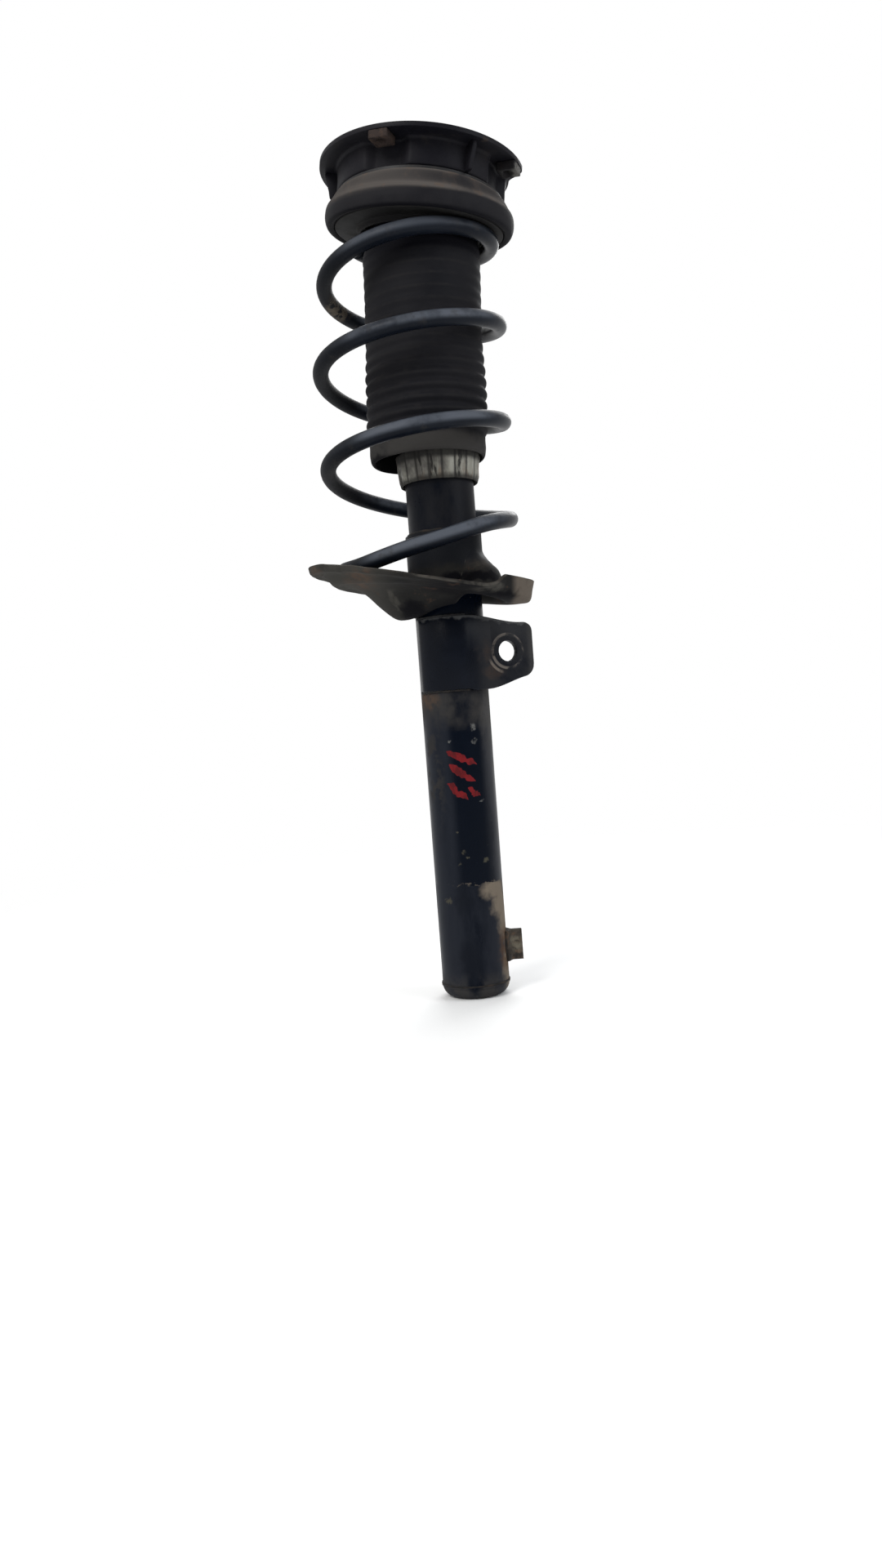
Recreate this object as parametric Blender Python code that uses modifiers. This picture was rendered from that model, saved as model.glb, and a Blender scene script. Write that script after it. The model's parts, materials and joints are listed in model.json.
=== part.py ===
"""Front suspension strut with its coil spring, dust boot and top mount.

The strut stands on the foot of its damper tube: the origin is the middle of that foot and +Z runs
up the tube. The link bracket's ear and the locating tab point towards +X. Metres throughout.
"""
import math

import bmesh
import bpy
from mathutils import Vector

MM = 0.001
GAP = 0.3 * MM                     # clearance left between pieces that touch
LARGE_ROUND = 40                   # sides of the large round pieces
SMALL_ROUND = 20                   # sides of the small ones

# Damper tube and what is inside it
TUBE_RADIUS = 25.0 * MM
TUBE_WALL = 2.5 * MM
TUBE_BOTTOM = 10.0 * MM
TUBE_TOP = 396.0 * MM
CYLINDER_RADIUS = 17.5 * MM
CYLINDER_WALL = 1.5 * MM
CYLINDER_BOTTOM = 17.0 * MM
CYLINDER_TOP = 372.0 * MM
ROD_RADIUS = 11.0 * MM
ROD_THREAD_RADIUS = 6.9 * MM
PISTON_BOTTOM = 330.0 * MM
PISTON_HEIGHT = 17.0 * MM
GUIDE_BOTTOM = 366.0 * MM
CAP_BOTTOM = 377.5 * MM
CAP_TOP = 399.8 * MM
CAP_FLUTES = 24

# Lower spring seat, a pressed dish whose rim is off centre and slopes down to the front right
SEAT_SHEET = 2.6 * MM
SEAT_COLLAR_TOP = 341.0 * MM
FUNNEL_BOTTOM = 281.4 * MM
RIM_SHOULDER = 5.0 * MM            # how far the rim rises before its wing on the right
WING_HEIGHT = 6.0 * MM             # how far the wing stands up from there

# Coil spring
WIRE_RADIUS = 5.75 * MM
COIL_RADIUS = 65.2 * MM
COIL_STEPS = 24
END_COIL_RADIUS = 61.0 * MM
TOP_COIL_RADIUS = 52.5 * MM

# Bracket for the anti-roll bar's link, and the tab that sets the strut's angle in its clamp
BRACKET_BOTTOM = 227.0 * MM
BRACKET_TOP = 280.0 * MM
BRACKET_SHEET = 3.5 * MM
EAR_TURN = math.radians(24.0)
EAR_LENGTH = 52.5 * MM
EAR_HOLE_REACH = 31.3 * MM
EAR_HOLE_HEIGHT = 252.7 * MM
EAR_HOLE_RADIUS = 7.5 * MM
TAB_BOTTOM = 24.0 * MM
TAB_TOP = 46.5 * MM
TAB_REACH = 36.6 * MM
TAB_THICKNESS = 5.0 * MM

# Top mount: everything there is built about its own axis, which leans from the tube's
PIVOT_HEIGHT = 568.0 * MM
MOUNT_LEAN = math.radians(7.0)
FLANGE_RADIUS = 73.8 * MM
FLANGE_UNDERSIDE = 30.3 * MM
FLANGE_NOTCH = (-15.0, 95.0)       # the flange is narrow between these angles, in degrees
MOUNT_SHEET = 3.0 * MM
CUP_RADIUS = 61.0 * MM
CUP_BOTTOM = 11.6 * MM
COLLAR_RADIUS = 38.0 * MM
COLLAR_TOP = 27.0 * MM
CORE_RADIUS = 18.0 * MM
BOLT_CIRCLE = 66.6 * MM
BOLT_HOLE_RADIUS = 4.2 * MM
LUG_ANGLES = [math.radians(angle) for angle in (-113.0, -23.0, 113.0)]
RIB_ANGLES = [math.radians(angle) for angle in (-58.0, 46.0, 179.0)]
WELD_NUT_WIDTH = 14.0 * MM
WELD_NUT_HEIGHT = 5.5 * MM
BALL_CIRCLE = 49.0 * MM
BALL_RADIUS = 2.3 * MM
BALL_COUNT = 9
BALL_HEIGHT = 6.9 * MM
PLATE_TOP = 2.0 * MM
PLATE_BORE = 39.5 * MM
PLATE_SLOPE = 0.112                # the spring side of the plate slopes down towards -Y

# Dust boot
BOOT_BOTTOM = 395.0 * MM
BOOT_SHOULDER = 543.0 * MM
BOOT_RADIUS = 43.9 * MM
BOOT_WALL = 1.8 * MM

RUBBER = ((0.020, 0.020, 0.021), 0.75, 0.0)
PAINT = ((0.011, 0.013, 0.019), 0.38, 0.0)
DUSTY_PAINT = ((0.055, 0.045, 0.038), 0.70, 0.0)
ZINC = ((0.42, 0.40, 0.30), 0.45, 0.8)
STEEL = ((0.45, 0.45, 0.46), 0.30, 1.0)
CHROME = ((0.70, 0.70, 0.72), 0.10, 1.0)
RUST = ((0.16, 0.085, 0.045), 0.80, 0.1)
PLASTIC = ((0.030, 0.030, 0.030), 0.50, 0.0)
FOAM = ((0.65, 0.58, 0.38), 0.80, 0.0)
BRONZE = ((0.45, 0.30, 0.14), 0.35, 1.0)


def clear_scene():
    for item in list(bpy.data.objects):
        bpy.data.objects.remove(item, do_unlink=True)


def collection(name):
    made = bpy.data.collections.new(name)
    bpy.context.scene.collection.children.link(made)
    return made


def material(name, look):
    colour, roughness, metallic = look
    made = bpy.data.materials.new(name)
    made.use_nodes = True
    shader = made.node_tree.nodes["Principled BSDF"]
    shader.inputs["Base Color"].default_value = (*colour, 1.0)
    shader.inputs["Roughness"].default_value = roughness
    shader.inputs["Metallic"].default_value = metallic
    return made


def add_part(name, data, look, parent=None):
    """Link a mesh or curve as one named sub-part with its own material."""
    part = bpy.data.objects.new(name, data)
    data.materials.append(material(name + "_finish", look))
    PARTS.objects.link(part)
    part.parent = parent
    return part


def add_cutter(name, data, parent=None):
    cutter = bpy.data.objects.new(name, data)
    CUTTERS.objects.link(cutter)
    cutter.hide_render = True
    cutter.display_type = "WIRE"
    cutter.parent = parent
    return cutter


def shade(mesh):
    mesh.shade_smooth()
    mesh.set_sharp_from_angle(angle=math.radians(35.0))
    return mesh


def mesh_from(name, vertices, faces):
    mesh = bpy.data.meshes.new(name)
    mesh.from_pydata([tuple(v) for v in vertices], [], faces)
    mesh.validate()
    return shade(mesh)


def turned(name, profile, look, parent=None, steps=SMALL_ROUND):
    """A turned piece: profile is (radius, height) points that go down the outer side first.
    A profile that starts and ends on the axis is a solid, any other is closed into a ring."""
    solid = profile[0][0] == 0.0 and profile[-1][0] == 0.0
    count = len(profile)
    edges = [(i, i + 1) for i in range(count - 1)] + ([] if solid else [(count - 1, 0)])
    mesh = bpy.data.meshes.new(name)
    mesh.from_pydata([(r, 0.0, z) for r, z in profile], edges, [])
    part = add_part(name, mesh, look, parent)
    screw = part.modifiers.new("turn", "SCREW")
    screw.axis = "Z"
    screw.steps = steps
    screw.render_steps = steps
    screw.use_merge_vertices = True
    screw.merge_threshold = 0.00001
    screw.use_smooth_shade = True
    return part


def ring(name, outer, inner, bottom, top, look, parent=None, steps=SMALL_ROUND):
    return turned(name, [(outer, top), (outer, bottom), (inner, bottom), (inner, top)],
                  look, parent, steps)


def arc(centre, radius, start, end, steps):
    """Points on an arc in the radius and height plane, angles in degrees from +radius."""
    points = []
    for i in range(steps + 1):
        angle = math.radians(start + (end - start) * i / steps)
        points.append((centre[0] + radius * math.cos(angle), centre[1] + radius * math.sin(angle)))
    return points


def swept_ring(name, section, look, parent=None, steps=64):
    """A closed ring whose section changes as it goes round: section(angle) gives (radius, height)
    points that go down the outer side first."""
    vertices, faces = [], []
    for i in range(steps):
        angle = 2.0 * math.pi * i / steps
        points = section(angle)
        vertices += [(r * math.cos(angle), r * math.sin(angle), z) for r, z in points]
    count = len(section(0.0))
    for i in range(steps):
        here, there = i * count, (i + 1) % steps * count
        for j in range(count):
            k = (j + 1) % count
            faces.append((here + j, here + k, there + k, there + j))
    return add_part(name, mesh_from(name, vertices, faces), look, parent)


def sheet_ring(name, profile, thickness, look, parent=None, steps=64):
    """A pressed ring of sheet: profile(angle) gives its lower side from the rim inwards."""
    vertices, faces = [], []
    for i in range(steps):
        angle = 2.0 * math.pi * i / steps
        vertices += [(r * math.cos(angle), r * math.sin(angle), z) for r, z in profile(angle)]
    count = len(profile(0.0))
    for i in range(steps):
        here, there = i * count, (i + 1) % steps * count
        for j in range(count - 1):
            faces.append((here + j, here + j + 1, there + j + 1, there + j))
    part = add_part(name, mesh_from(name, vertices, faces), look, parent)
    wall = part.modifiers.new("sheet", "SOLIDIFY")
    wall.thickness = thickness
    wall.offset = -1.0
    wall.use_even_offset = True
    return part


def plate_mesh(name, outline, thickness, holes=()):
    """A flat plate in the XY plane with a point list for its outline and for each hole."""
    curve = bpy.data.curves.new(name, "CURVE")
    curve.dimensions = "2D"
    curve.fill_mode = "BOTH"
    curve.extrude = thickness / 2.0
    for points in [outline, *holes]:
        spline = curve.splines.new("POLY")
        spline.points.add(len(points) - 1)
        for point, (x, y) in zip(spline.points, points):
            point.co = (x, y, 0.0, 1.0)
        spline.use_cyclic_u = True
    return welded_mesh(name, curve)


def welded_mesh(name, curve):
    """Turn a curve into a closed mesh with its caps joined on."""
    holder = bpy.data.objects.new(name + "_curve", curve)
    bpy.context.scene.collection.objects.link(holder)
    bpy.context.view_layer.update()
    evaluated = holder.evaluated_get(bpy.context.evaluated_depsgraph_get())
    mesh = bpy.data.meshes.new_from_object(evaluated)
    mesh.name = name
    bpy.data.objects.remove(holder, do_unlink=True)
    work = bmesh.new()
    work.from_mesh(mesh)
    bmesh.ops.remove_doubles(work, verts=work.verts, dist=0.000001)
    bmesh.ops.recalc_face_normals(work, faces=work.faces)
    work.to_mesh(mesh)
    work.free()
    return shade(mesh)


def polygon(radius, sides, turn=0.0):
    return [(radius * math.cos(turn + 2.0 * math.pi * i / sides),
             radius * math.sin(turn + 2.0 * math.pi * i / sides)) for i in range(sides)]


def cylinder_mesh(name, radius, depth, sides=24):
    mesh = bpy.data.meshes.new(name)
    work = bmesh.new()
    bmesh.ops.create_cone(work, cap_ends=True, segments=sides, radius1=radius, radius2=radius,
                          depth=depth)
    work.to_mesh(mesh)
    work.free()
    return mesh


def boolean(part, tool, operation):
    change = part.modifiers.new(operation.lower(), "BOOLEAN")
    change.operation = operation
    change.object = tool
    change.solver = "EXACT"
    return change


def blend_between(low, high, share):
    return low + (high - low) * share


def smooth_step(value):
    value = min(max(value, 0.0), 1.0)
    return value * value * (3.0 - 2.0 * value)


# ---------------------------------------------------------------- damper tube

def make_strut_tube():
    inner = TUBE_RADIUS - TUBE_WALL
    crimp = 20.0 * MM
    turned("strut_tube", [
        (TUBE_RADIUS - 1.5 * MM, TUBE_TOP), (TUBE_RADIUS, TUBE_TOP - 1.5 * MM),
        (TUBE_RADIUS, TUBE_BOTTOM), (inner, TUBE_BOTTOM), (inner, TUBE_TOP - 3.5 * MM),
        (crimp, TUBE_TOP - 3.0 * MM), (crimp, TUBE_TOP)], PAINT, steps=LARGE_ROUND)


def make_tube_end_cap():
    corner = 9.0 * MM
    spigot = TUBE_RADIUS - TUBE_WALL - GAP
    outer = arc((TUBE_RADIUS - corner, corner), corner, 0.0, -90.0, 4)
    turned("tube_end_cap", [
        (0.0, 7.0 * MM), (13.0 * MM, 7.0 * MM), (18.0 * MM, 15.0 * MM), (spigot, 15.0 * MM),
        (spigot, TUBE_BOTTOM - GAP), (TUBE_RADIUS + 0.6 * MM, TUBE_BOTTOM - GAP),
        *outer, (0.0, 0.0)], PAINT, steps=LARGE_ROUND)


def make_pressure_cylinder():
    ring("pressure_cylinder", CYLINDER_RADIUS, CYLINDER_RADIUS - CYLINDER_WALL,
         CYLINDER_BOTTOM, CYLINDER_TOP, STEEL)


def make_base_valve():
    bore = CYLINDER_RADIUS - CYLINDER_WALL - GAP
    body = turned("base_valve_body", [
        (bore, 24.0 * MM), (bore, CYLINDER_BOTTOM - GAP), (17.3 * MM, CYLINDER_BOTTOM - GAP),
        (17.3 * MM, 15.3 * MM), (11.5 * MM, 7.6 * MM), (3.4 * MM, 7.6 * MM),
        (3.4 * MM, 24.0 * MM)], STEEL)
    ports = bpy.data.meshes.new("base_valve_ports")
    work = bmesh.new()
    for x, y in polygon(9.0 * MM, 4):
        made = bmesh.ops.create_cone(work, cap_ends=True, segments=8, radius1=1.6 * MM,
                                     radius2=1.6 * MM, depth=60.0 * MM)
        bmesh.ops.translate(work, vec=(x, y, 16.0 * MM), verts=made["verts"])
    work.to_mesh(ports)
    work.free()
    boolean(body, add_cutter("base_valve_ports", ports), "DIFFERENCE")
    ring("base_valve_disc", 12.5 * MM, 3.4 * MM, 24.3 * MM, 25.1 * MM, STEEL)
    turned("base_valve_rivet", [
        (0.0, 28.0 * MM), (5.0 * MM, 28.0 * MM), (5.0 * MM, 25.4 * MM), (3.0 * MM, 25.4 * MM),
        (3.0 * MM, 8.0 * MM), (0.0, 8.0 * MM)], STEEL)


def make_rod_guide():
    inner = TUBE_RADIUS - TUBE_WALL - GAP
    spigot = CYLINDER_RADIUS - CYLINDER_WALL - GAP
    seat = CYLINDER_TOP + GAP
    turned("rod_guide", [
        (inner, 387.0 * MM), (inner, seat), (spigot, seat), (spigot, GUIDE_BOTTOM),
        (12.7 * MM, GUIDE_BOTTOM), (12.7 * MM, 381.0 * MM), (17.0 * MM, 381.0 * MM),
        (17.0 * MM, 387.0 * MM)], STEEL)
    ring("guide_bush", 12.4 * MM, ROD_RADIUS + GAP, GUIDE_BOTTOM + 1.0 * MM, 380.7 * MM, BRONZE)
    turned("rod_seal", [
        (16.7 * MM, 387.0 * MM), (16.7 * MM, 381.4 * MM), (ROD_RADIUS + GAP, 381.4 * MM),
        (13.5 * MM, 384.0 * MM), (ROD_RADIUS + GAP, 386.0 * MM), (13.0 * MM, 387.0 * MM)],
        RUBBER)
    ring("gland_washer", inner, 12.2 * MM, 387.4 * MM, 392.1 * MM, STEEL)


def make_bump_cap():
    """The fluted metal cap on the tube's end, which the bump stop lands on."""
    def section(angle):
        flute = 0.5 * MM * math.cos(CAP_FLUTES * angle)
        inner = TUBE_RADIUS + 0.5 * MM
        return [(29.0 * MM, CAP_TOP), (31.0 * MM + flute, CAP_TOP - 1.6 * MM),
                (30.6 * MM + flute, CAP_TOP - 8.0 * MM), (29.0 * MM + flute, CAP_BOTTOM + 6.0 * MM),
                (28.4 * MM + 0.5 * flute, CAP_BOTTOM), (27.0 * MM, CAP_BOTTOM),
                (inner, CAP_BOTTOM + 3.0 * MM), (inner, TUBE_TOP + GAP),
                (13.0 * MM, TUBE_TOP + GAP), (13.0 * MM, CAP_TOP)]
    swept_ring("bump_cap", section, ZINC, steps=2 * CAP_FLUTES)


# ---------------------------------------------------------------- lower spring seat

def seat_rim_height(angle):
    """The rim slopes down to the front right, where it levels out and then stands up as a wing."""
    degrees = math.degrees(math.remainder(angle, 2.0 * math.pi))
    shoulder = smooth_step((degrees + 92.0) / 34.0) * smooth_step((60.0 - degrees) / 25.0)
    wing = smooth_step((degrees + 63.0) / 9.0) * smooth_step((63.0 - degrees) / 25.0)
    front = 1.3 * MM * smooth_step((degrees + 175.0) / 20.0) * smooth_step((-98.0 - degrees) / 15.0)
    return RIM_SHOULDER * shoulder + WING_HEIGHT * wing + front + (
        307.3 - 16.1 * math.cos(angle) + 3.9 * math.sin(angle) + 2.9 * math.cos(2.0 * angle)) * MM


def seat_floor_height(angle):
    """Top of the floor that the spring's end lies on."""
    return (301.4 - 11.6 * math.cos(angle) + 2.2 * math.sin(angle)
            + 0.5 * math.cos(2.0 * angle)) * MM


def seat_profile(angle):
    """Lower side of the dish from the rim in to the collar. On the left the floor runs down into
    a funnel round the tube. On the right a shouldered cone rises from it to the collar."""
    left = 0.5 - 0.5 * math.cos(angle)
    deep = 0.5 - 0.5 * math.cos(angle - math.radians(25.0))
    cone = smooth_step((math.cos(angle) - 0.1) / 0.7)
    rim = seat_rim_height(angle) - SEAT_SHEET
    floor = seat_floor_height(angle) - SEAT_SHEET
    funnel = blend_between(floor + 2.0 * MM, FUNNEL_BOTTOM, deep ** 1.5)
    bore = TUBE_RADIUS + GAP

    def radius(right, far):
        return blend_between(right, far, left) * MM

    def wall(share):
        return blend_between(rim, floor, share)

    def inner(rise, share, lift=0.0):
        bowl = blend_between(floor, funnel, share) + lift * MM
        return blend_between(bowl, floor + rise * MM, cone)

    return [
        (radius(64.0, 100.5), rim),
        (radius(62.5, 98.5), wall(0.4)),
        (radius(60.4, 89.5), wall(blend_between(0.92, 0.50, left))),
        (radius(55.5, 82.5), floor - 1.5 * MM * left),
        (radius(45.0, 74.0), floor - 1.5 * MM * left),
        (radius(41.2, 61.0), inner(3.0, 0.3)),
        (radius(39.3, 50.0), inner(14.0, 0.7)),
        (radius(36.8, 40.0), inner(23.0, 1.0)),
        (radius(33.0, 33.0), inner(27.5, 1.0, -1.0)),
        (radius(28.5, 27.8), inner(33.0, 1.0, 0.6)),
        (bore, inner(40.0, 1.0, 5.5)),
        (bore, SEAT_COLLAR_TOP),
    ]


def make_lower_spring_seat():
    sheet_ring("lower_spring_seat", seat_profile, SEAT_SHEET, DUSTY_PAINT, steps=36)


# ---------------------------------------------------------------- coil spring

# Height of the wire's middle at each angle of its winding, seen from above against the clock
# from +X. The ends follow the two seats and the turns between them have an even pitch.
WIRE_HEIGHTS = [
    (-25.0, 297.4), (0.0, 297.6), (45.0, 302.4), (90.0, 310.9), (135.0, 317.6), (180.0, 319.4),
    (225.0, 317.6), (270.0, 326.7), (315.0, 340.3), (360.0, 349.5), (450.0, 371.0),
    (540.0, 391.5), (630.0, 406.0), (720.0, 419.5), (810.0, 440.0), (900.0, 461.0),
    (990.0, 474.5), (1080.0, 488.0), (1170.0, 508.0), (1260.0, 527.0), (1350.0, 541.5),
    (1440.0, 546.0), (1530.0, 557.5), (1590.0, 560.5)]


def wire_height(turned_to):
    """Smooth curve through WIRE_HEIGHTS."""
    points = WIRE_HEIGHTS
    index = 0
    while index < len(points) - 2 and turned_to > points[index + 1][0]:
        index += 1
    before = points[max(index - 1, 0)]
    start, end = points[index], points[index + 1]
    after = points[min(index + 2, len(points) - 1)]
    span = end[0] - start[0]
    share = (turned_to - start[0]) / span
    slope_start = (end[1] - before[1]) / (end[0] - before[0]) * span
    slope_end = (after[1] - start[1]) / (after[0] - start[0]) * span
    square, cube = share ** 2, share ** 3
    return ((2 * cube - 3 * square + 1) * start[1] + (cube - 2 * square + share) * slope_start
            + (3 * square - 2 * cube) * end[1] + (cube - square) * slope_end) * MM


def wire_point(turned_to):
    """A point of the wire's middle line. Both end coils are smaller than the turns between."""
    height = wire_height(turned_to)
    widening = smooth_step((turned_to - 150.0) / 130.0)
    narrowing = smooth_step((turned_to - 1190.0) / 220.0)
    radius = blend_between(END_COIL_RADIUS, COIL_RADIUS, widening)
    radius = blend_between(radius, TOP_COIL_RADIUS, narrowing)
    centre = blend_between(-11.5, -15.2, widening)
    centre = blend_between(centre, -13.4, smooth_step((turned_to - 900.0) / 180.0))
    centre = blend_between(centre, -2.5, narrowing) * MM
    angle = math.radians(turned_to)
    return Vector((centre + radius * math.cos(angle), radius * math.sin(angle), height))


def make_coil_spring():
    first, last = WIRE_HEIGHTS[0][0], WIRE_HEIGHTS[-1][0]
    count = round((last - first) / 360.0 * COIL_STEPS)
    points = [wire_point(first + (last - first) * i / count) for i in range(count + 1)]
    curve = bpy.data.curves.new("coil_spring", "CURVE")
    curve.dimensions = "3D"
    curve.bevel_depth = WIRE_RADIUS
    curve.bevel_resolution = 1
    curve.use_fill_caps = True
    spline = curve.splines.new("POLY")
    spline.points.add(len(points) - 1)
    for target, point in zip(spline.points, points):
        target.co = (*point, 1.0)
    add_part("coil_spring", curve, PAINT)
    apart = COIL_STEPS // 2
    gap = min((points[i] - points[j]).length for i in range(len(points))
              for j in range(i + apart, len(points))) - 2.0 * WIRE_RADIUS
    print(f"coil_spring: least gap to itself {gap / MM:.2f} mm")


# ---------------------------------------------------------------- link bracket and tab

def make_link_bracket():
    """A strap that hugs the front of the tube and leaves it as a flat ear with one hole."""
    inner = TUBE_RADIUS + GAP
    strap = 2.0 * MM
    leave = EAR_TURN - math.pi / 2.0
    along = Vector((math.cos(EAR_TURN), math.sin(EAR_TURN), 0.0))
    outward = Vector((math.cos(leave), math.sin(leave), 0.0))
    arc_steps, ear_steps = 14, 8
    start = math.radians(-160.0)
    stations = []
    for i in range(arc_steps + 1):
        share = i / arc_steps
        angle = blend_between(start, leave, share)
        normal = Vector((math.cos(angle), math.sin(angle), 0.0))
        wall = blend_between(strap, BRACKET_SHEET, smooth_step((share - 0.5) * 2.0))
        wall *= blend_between(0.35, 1.0, smooth_step(share * 6.0))
        stations.append((normal * inner, normal * (inner + wall), BRACKET_BOTTOM, BRACKET_TOP))
    for i in range(1, ear_steps + 1):
        reach = EAR_LENGTH * i / ear_steps
        foot = outward * inner + along * reach
        top = BRACKET_TOP - 6.6 * MM * smooth_step(reach / EAR_LENGTH * 1.2)
        bottom = BRACKET_BOTTOM - 1.0 * MM + 8.5 * MM * smooth_step(
            (reach - 14.0 * MM) / (EAR_LENGTH - 14.0 * MM))
        end = max(reach - EAR_LENGTH + 7.0 * MM, 0.0) / (7.0 * MM)
        top -= 6.0 * MM * (1.0 - math.sqrt(1.0 - min(end, 1.0) ** 2))
        bottom += 8.0 * MM * (1.0 - math.sqrt(1.0 - min(end, 1.0) ** 2))
        stations.append((foot, foot + outward * BRACKET_SHEET, bottom, top))
    vertices, faces = [], []
    for near, far, bottom, top in stations:
        for place, height in ((near, bottom), (far, bottom), (far, top), (near, top)):
            vertices.append((place.x, place.y, height))
    for i in range(len(stations) - 1):
        here, there = 4 * i, 4 * i + 4
        for j in range(4):
            k = (j + 1) % 4
            faces.append((here + j, there + j, there + k, here + k))
    last = 4 * (len(stations) - 1)
    faces += [(0, 1, 2, 3), (last + 3, last + 2, last + 1, last)]
    bracket = add_part("link_bracket", mesh_from("link_bracket", vertices, faces), PAINT)
    middle = outward * (inner + BRACKET_SHEET / 2.0) + along * EAR_HOLE_REACH
    middle.z = EAR_HOLE_HEIGHT
    aim = outward.to_track_quat("Z", "Y")
    boss = add_cutter("ear_boss", cylinder_mesh("ear_boss", 13.0 * MM, BRACKET_SHEET + 1.6 * MM, 24))
    hole = add_cutter("ear_hole", cylinder_mesh("ear_hole", EAR_HOLE_RADIUS, 20.0 * MM, 24))
    for tool, operation in ((boss, "UNION"), (hole, "DIFFERENCE")):
        tool.location = middle
        tool.rotation_mode = "QUATERNION"
        tool.rotation_quaternion = aim
        boolean(bracket, tool, operation)


def make_locating_tab():
    """A blade on a curved foot that is welded to the tube."""
    inner = TUBE_RADIUS + GAP
    half = TAB_THICKNESS / 2.0
    foot = 9.0 * MM
    outline = [(TAB_REACH, -half), (TAB_REACH, half), (inner + 3.5 * MM, half)]
    bend = math.asin(foot / (inner + 2.0 * MM))
    outline.append(((inner + 1.6 * MM) * math.cos(bend), (inner + 1.6 * MM) * math.sin(bend)))
    outline += [(inner * math.cos(bend * (1.0 - i / 4.0)), inner * math.sin(bend * (1.0 - i / 4.0)))
                for i in range(9)]
    outline.append(((inner + 1.6 * MM) * math.cos(bend), -(inner + 1.6 * MM) * math.sin(bend)))
    outline.append((inner + 3.5 * MM, -half))
    height = TAB_TOP - TAB_BOTTOM
    tab = add_part("locating_tab", plate_mesh("locating_tab", outline, height), RUST)
    tab.location.z = TAB_BOTTOM + height / 2.0


# ---------------------------------------------------------------- rod, piston and stops

def make_piston_rod():
    step = PISTON_BOTTOM + PISTON_HEIGHT + 1.4 * MM
    turned("piston_rod", [
        (0.0, 602.0 * MM), (5.9 * MM, 602.0 * MM), (ROD_THREAD_RADIUS, 601.0 * MM),
        (ROD_THREAD_RADIUS, 548.5 * MM), (ROD_RADIUS, 547.5 * MM), (ROD_RADIUS, step),
        (6.0 * MM, step), (6.0 * MM, PISTON_BOTTOM - 13.0 * MM), (0.0, PISTON_BOTTOM - 13.0 * MM)],
        CHROME)


def make_piston():
    bore = 6.3 * MM
    outer = 15.2 * MM
    top = PISTON_BOTTOM + PISTON_HEIGHT
    turned("piston", [
        (outer, top), (outer, top - 3.0 * MM), (14.2 * MM, top - 3.0 * MM),
        (14.2 * MM, PISTON_BOTTOM + 3.0 * MM), (outer, PISTON_BOTTOM + 3.0 * MM),
        (outer, PISTON_BOTTOM), (bore, PISTON_BOTTOM), (bore, top)], STEEL)
    ring("piston_band", 15.7 * MM, 14.5 * MM, PISTON_BOTTOM + 3.3 * MM, top - 3.3 * MM, PLASTIC)
    ring("compression_valve_disc", 12.5 * MM, bore, top + 0.3 * MM, top + 1.1 * MM, STEEL)
    ring("rebound_valve_disc", 12.5 * MM, bore, PISTON_BOTTOM - 1.1 * MM,
         PISTON_BOTTOM - 0.3 * MM, STEEL)
    nut = add_part("piston_nut", plate_mesh("piston_nut", polygon(10.4 * MM, 6), 8.0 * MM,
                                            [polygon(bore, 24)]), STEEL)
    nut.location.z = PISTON_BOTTOM - 1.4 * MM - 4.0 * MM
    ring("rebound_stop", 15.0 * MM, ROD_RADIUS + GAP, 352.0 * MM, 364.0 * MM, PLASTIC)


def make_bump_stop():
    """Three soft lobes that narrow towards the cap they land on."""
    top, bottom = 547.0 * MM, 503.0 * MM
    profile = [(ROD_RADIUS + GAP, top), (24.0 * MM, top)]
    lobes = ((25.0, 21.0), (23.5, 18.5), (21.0, 15.5))
    height = (top - bottom - 3.0 * MM) / len(lobes)
    for index, (wide, waist) in enumerate(lobes):
        start = top - 3.0 * MM - index * height
        profile += [(wide * MM, start), (wide * MM, start - 0.5 * height),
                    (waist * MM, start - 0.85 * height)]
    profile += [(15.5 * MM, bottom), (ROD_RADIUS + GAP, bottom)]
    turned("bump_stop", profile, FOAM)


def make_rod_top():
    low = PIVOT_HEIGHT - 15.2 * MM
    high = PIVOT_HEIGHT + 15.2 * MM
    edge = math.degrees(math.asin(15.2 * MM / CORE_RADIUS))
    ring("stop_washer", 16.0 * MM, ROD_THREAD_RADIUS + GAP, 548.8 * MM, low - GAP, STEEL)
    ball = arc((0.0, PIVOT_HEIGHT), CORE_RADIUS, edge, -edge, 5)
    turned("mount_core", [*ball, (ROD_THREAD_RADIUS + GAP, low), (ROD_THREAD_RADIUS + GAP, high)],
           STEEL)
    turned("rebound_washer", [
        (22.0 * MM, high + 4.6 * MM), (22.0 * MM, high + 2.6 * MM), (13.0 * MM, high + GAP),
        (ROD_THREAD_RADIUS + GAP, high + GAP), (ROD_THREAD_RADIUS + GAP, high + 3.3 * MM),
        (13.0 * MM, high + 3.3 * MM)], STEEL)
    nut = add_part("rod_nut", plate_mesh("rod_nut", polygon(12.1 * MM, 6), 11.0 * MM,
                                         [polygon(ROD_THREAD_RADIUS + GAP, 24)]), STEEL)
    nut.location.z = high + 3.6 * MM + 5.5 * MM


# ---------------------------------------------------------------- spring plate and bearing

def sloping(angle, radius, height):
    """A point of the plate's spring side, whose height follows the slope."""
    return radius * MM, height * MM + PLATE_SLOPE * radius * MM * math.sin(angle)


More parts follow.
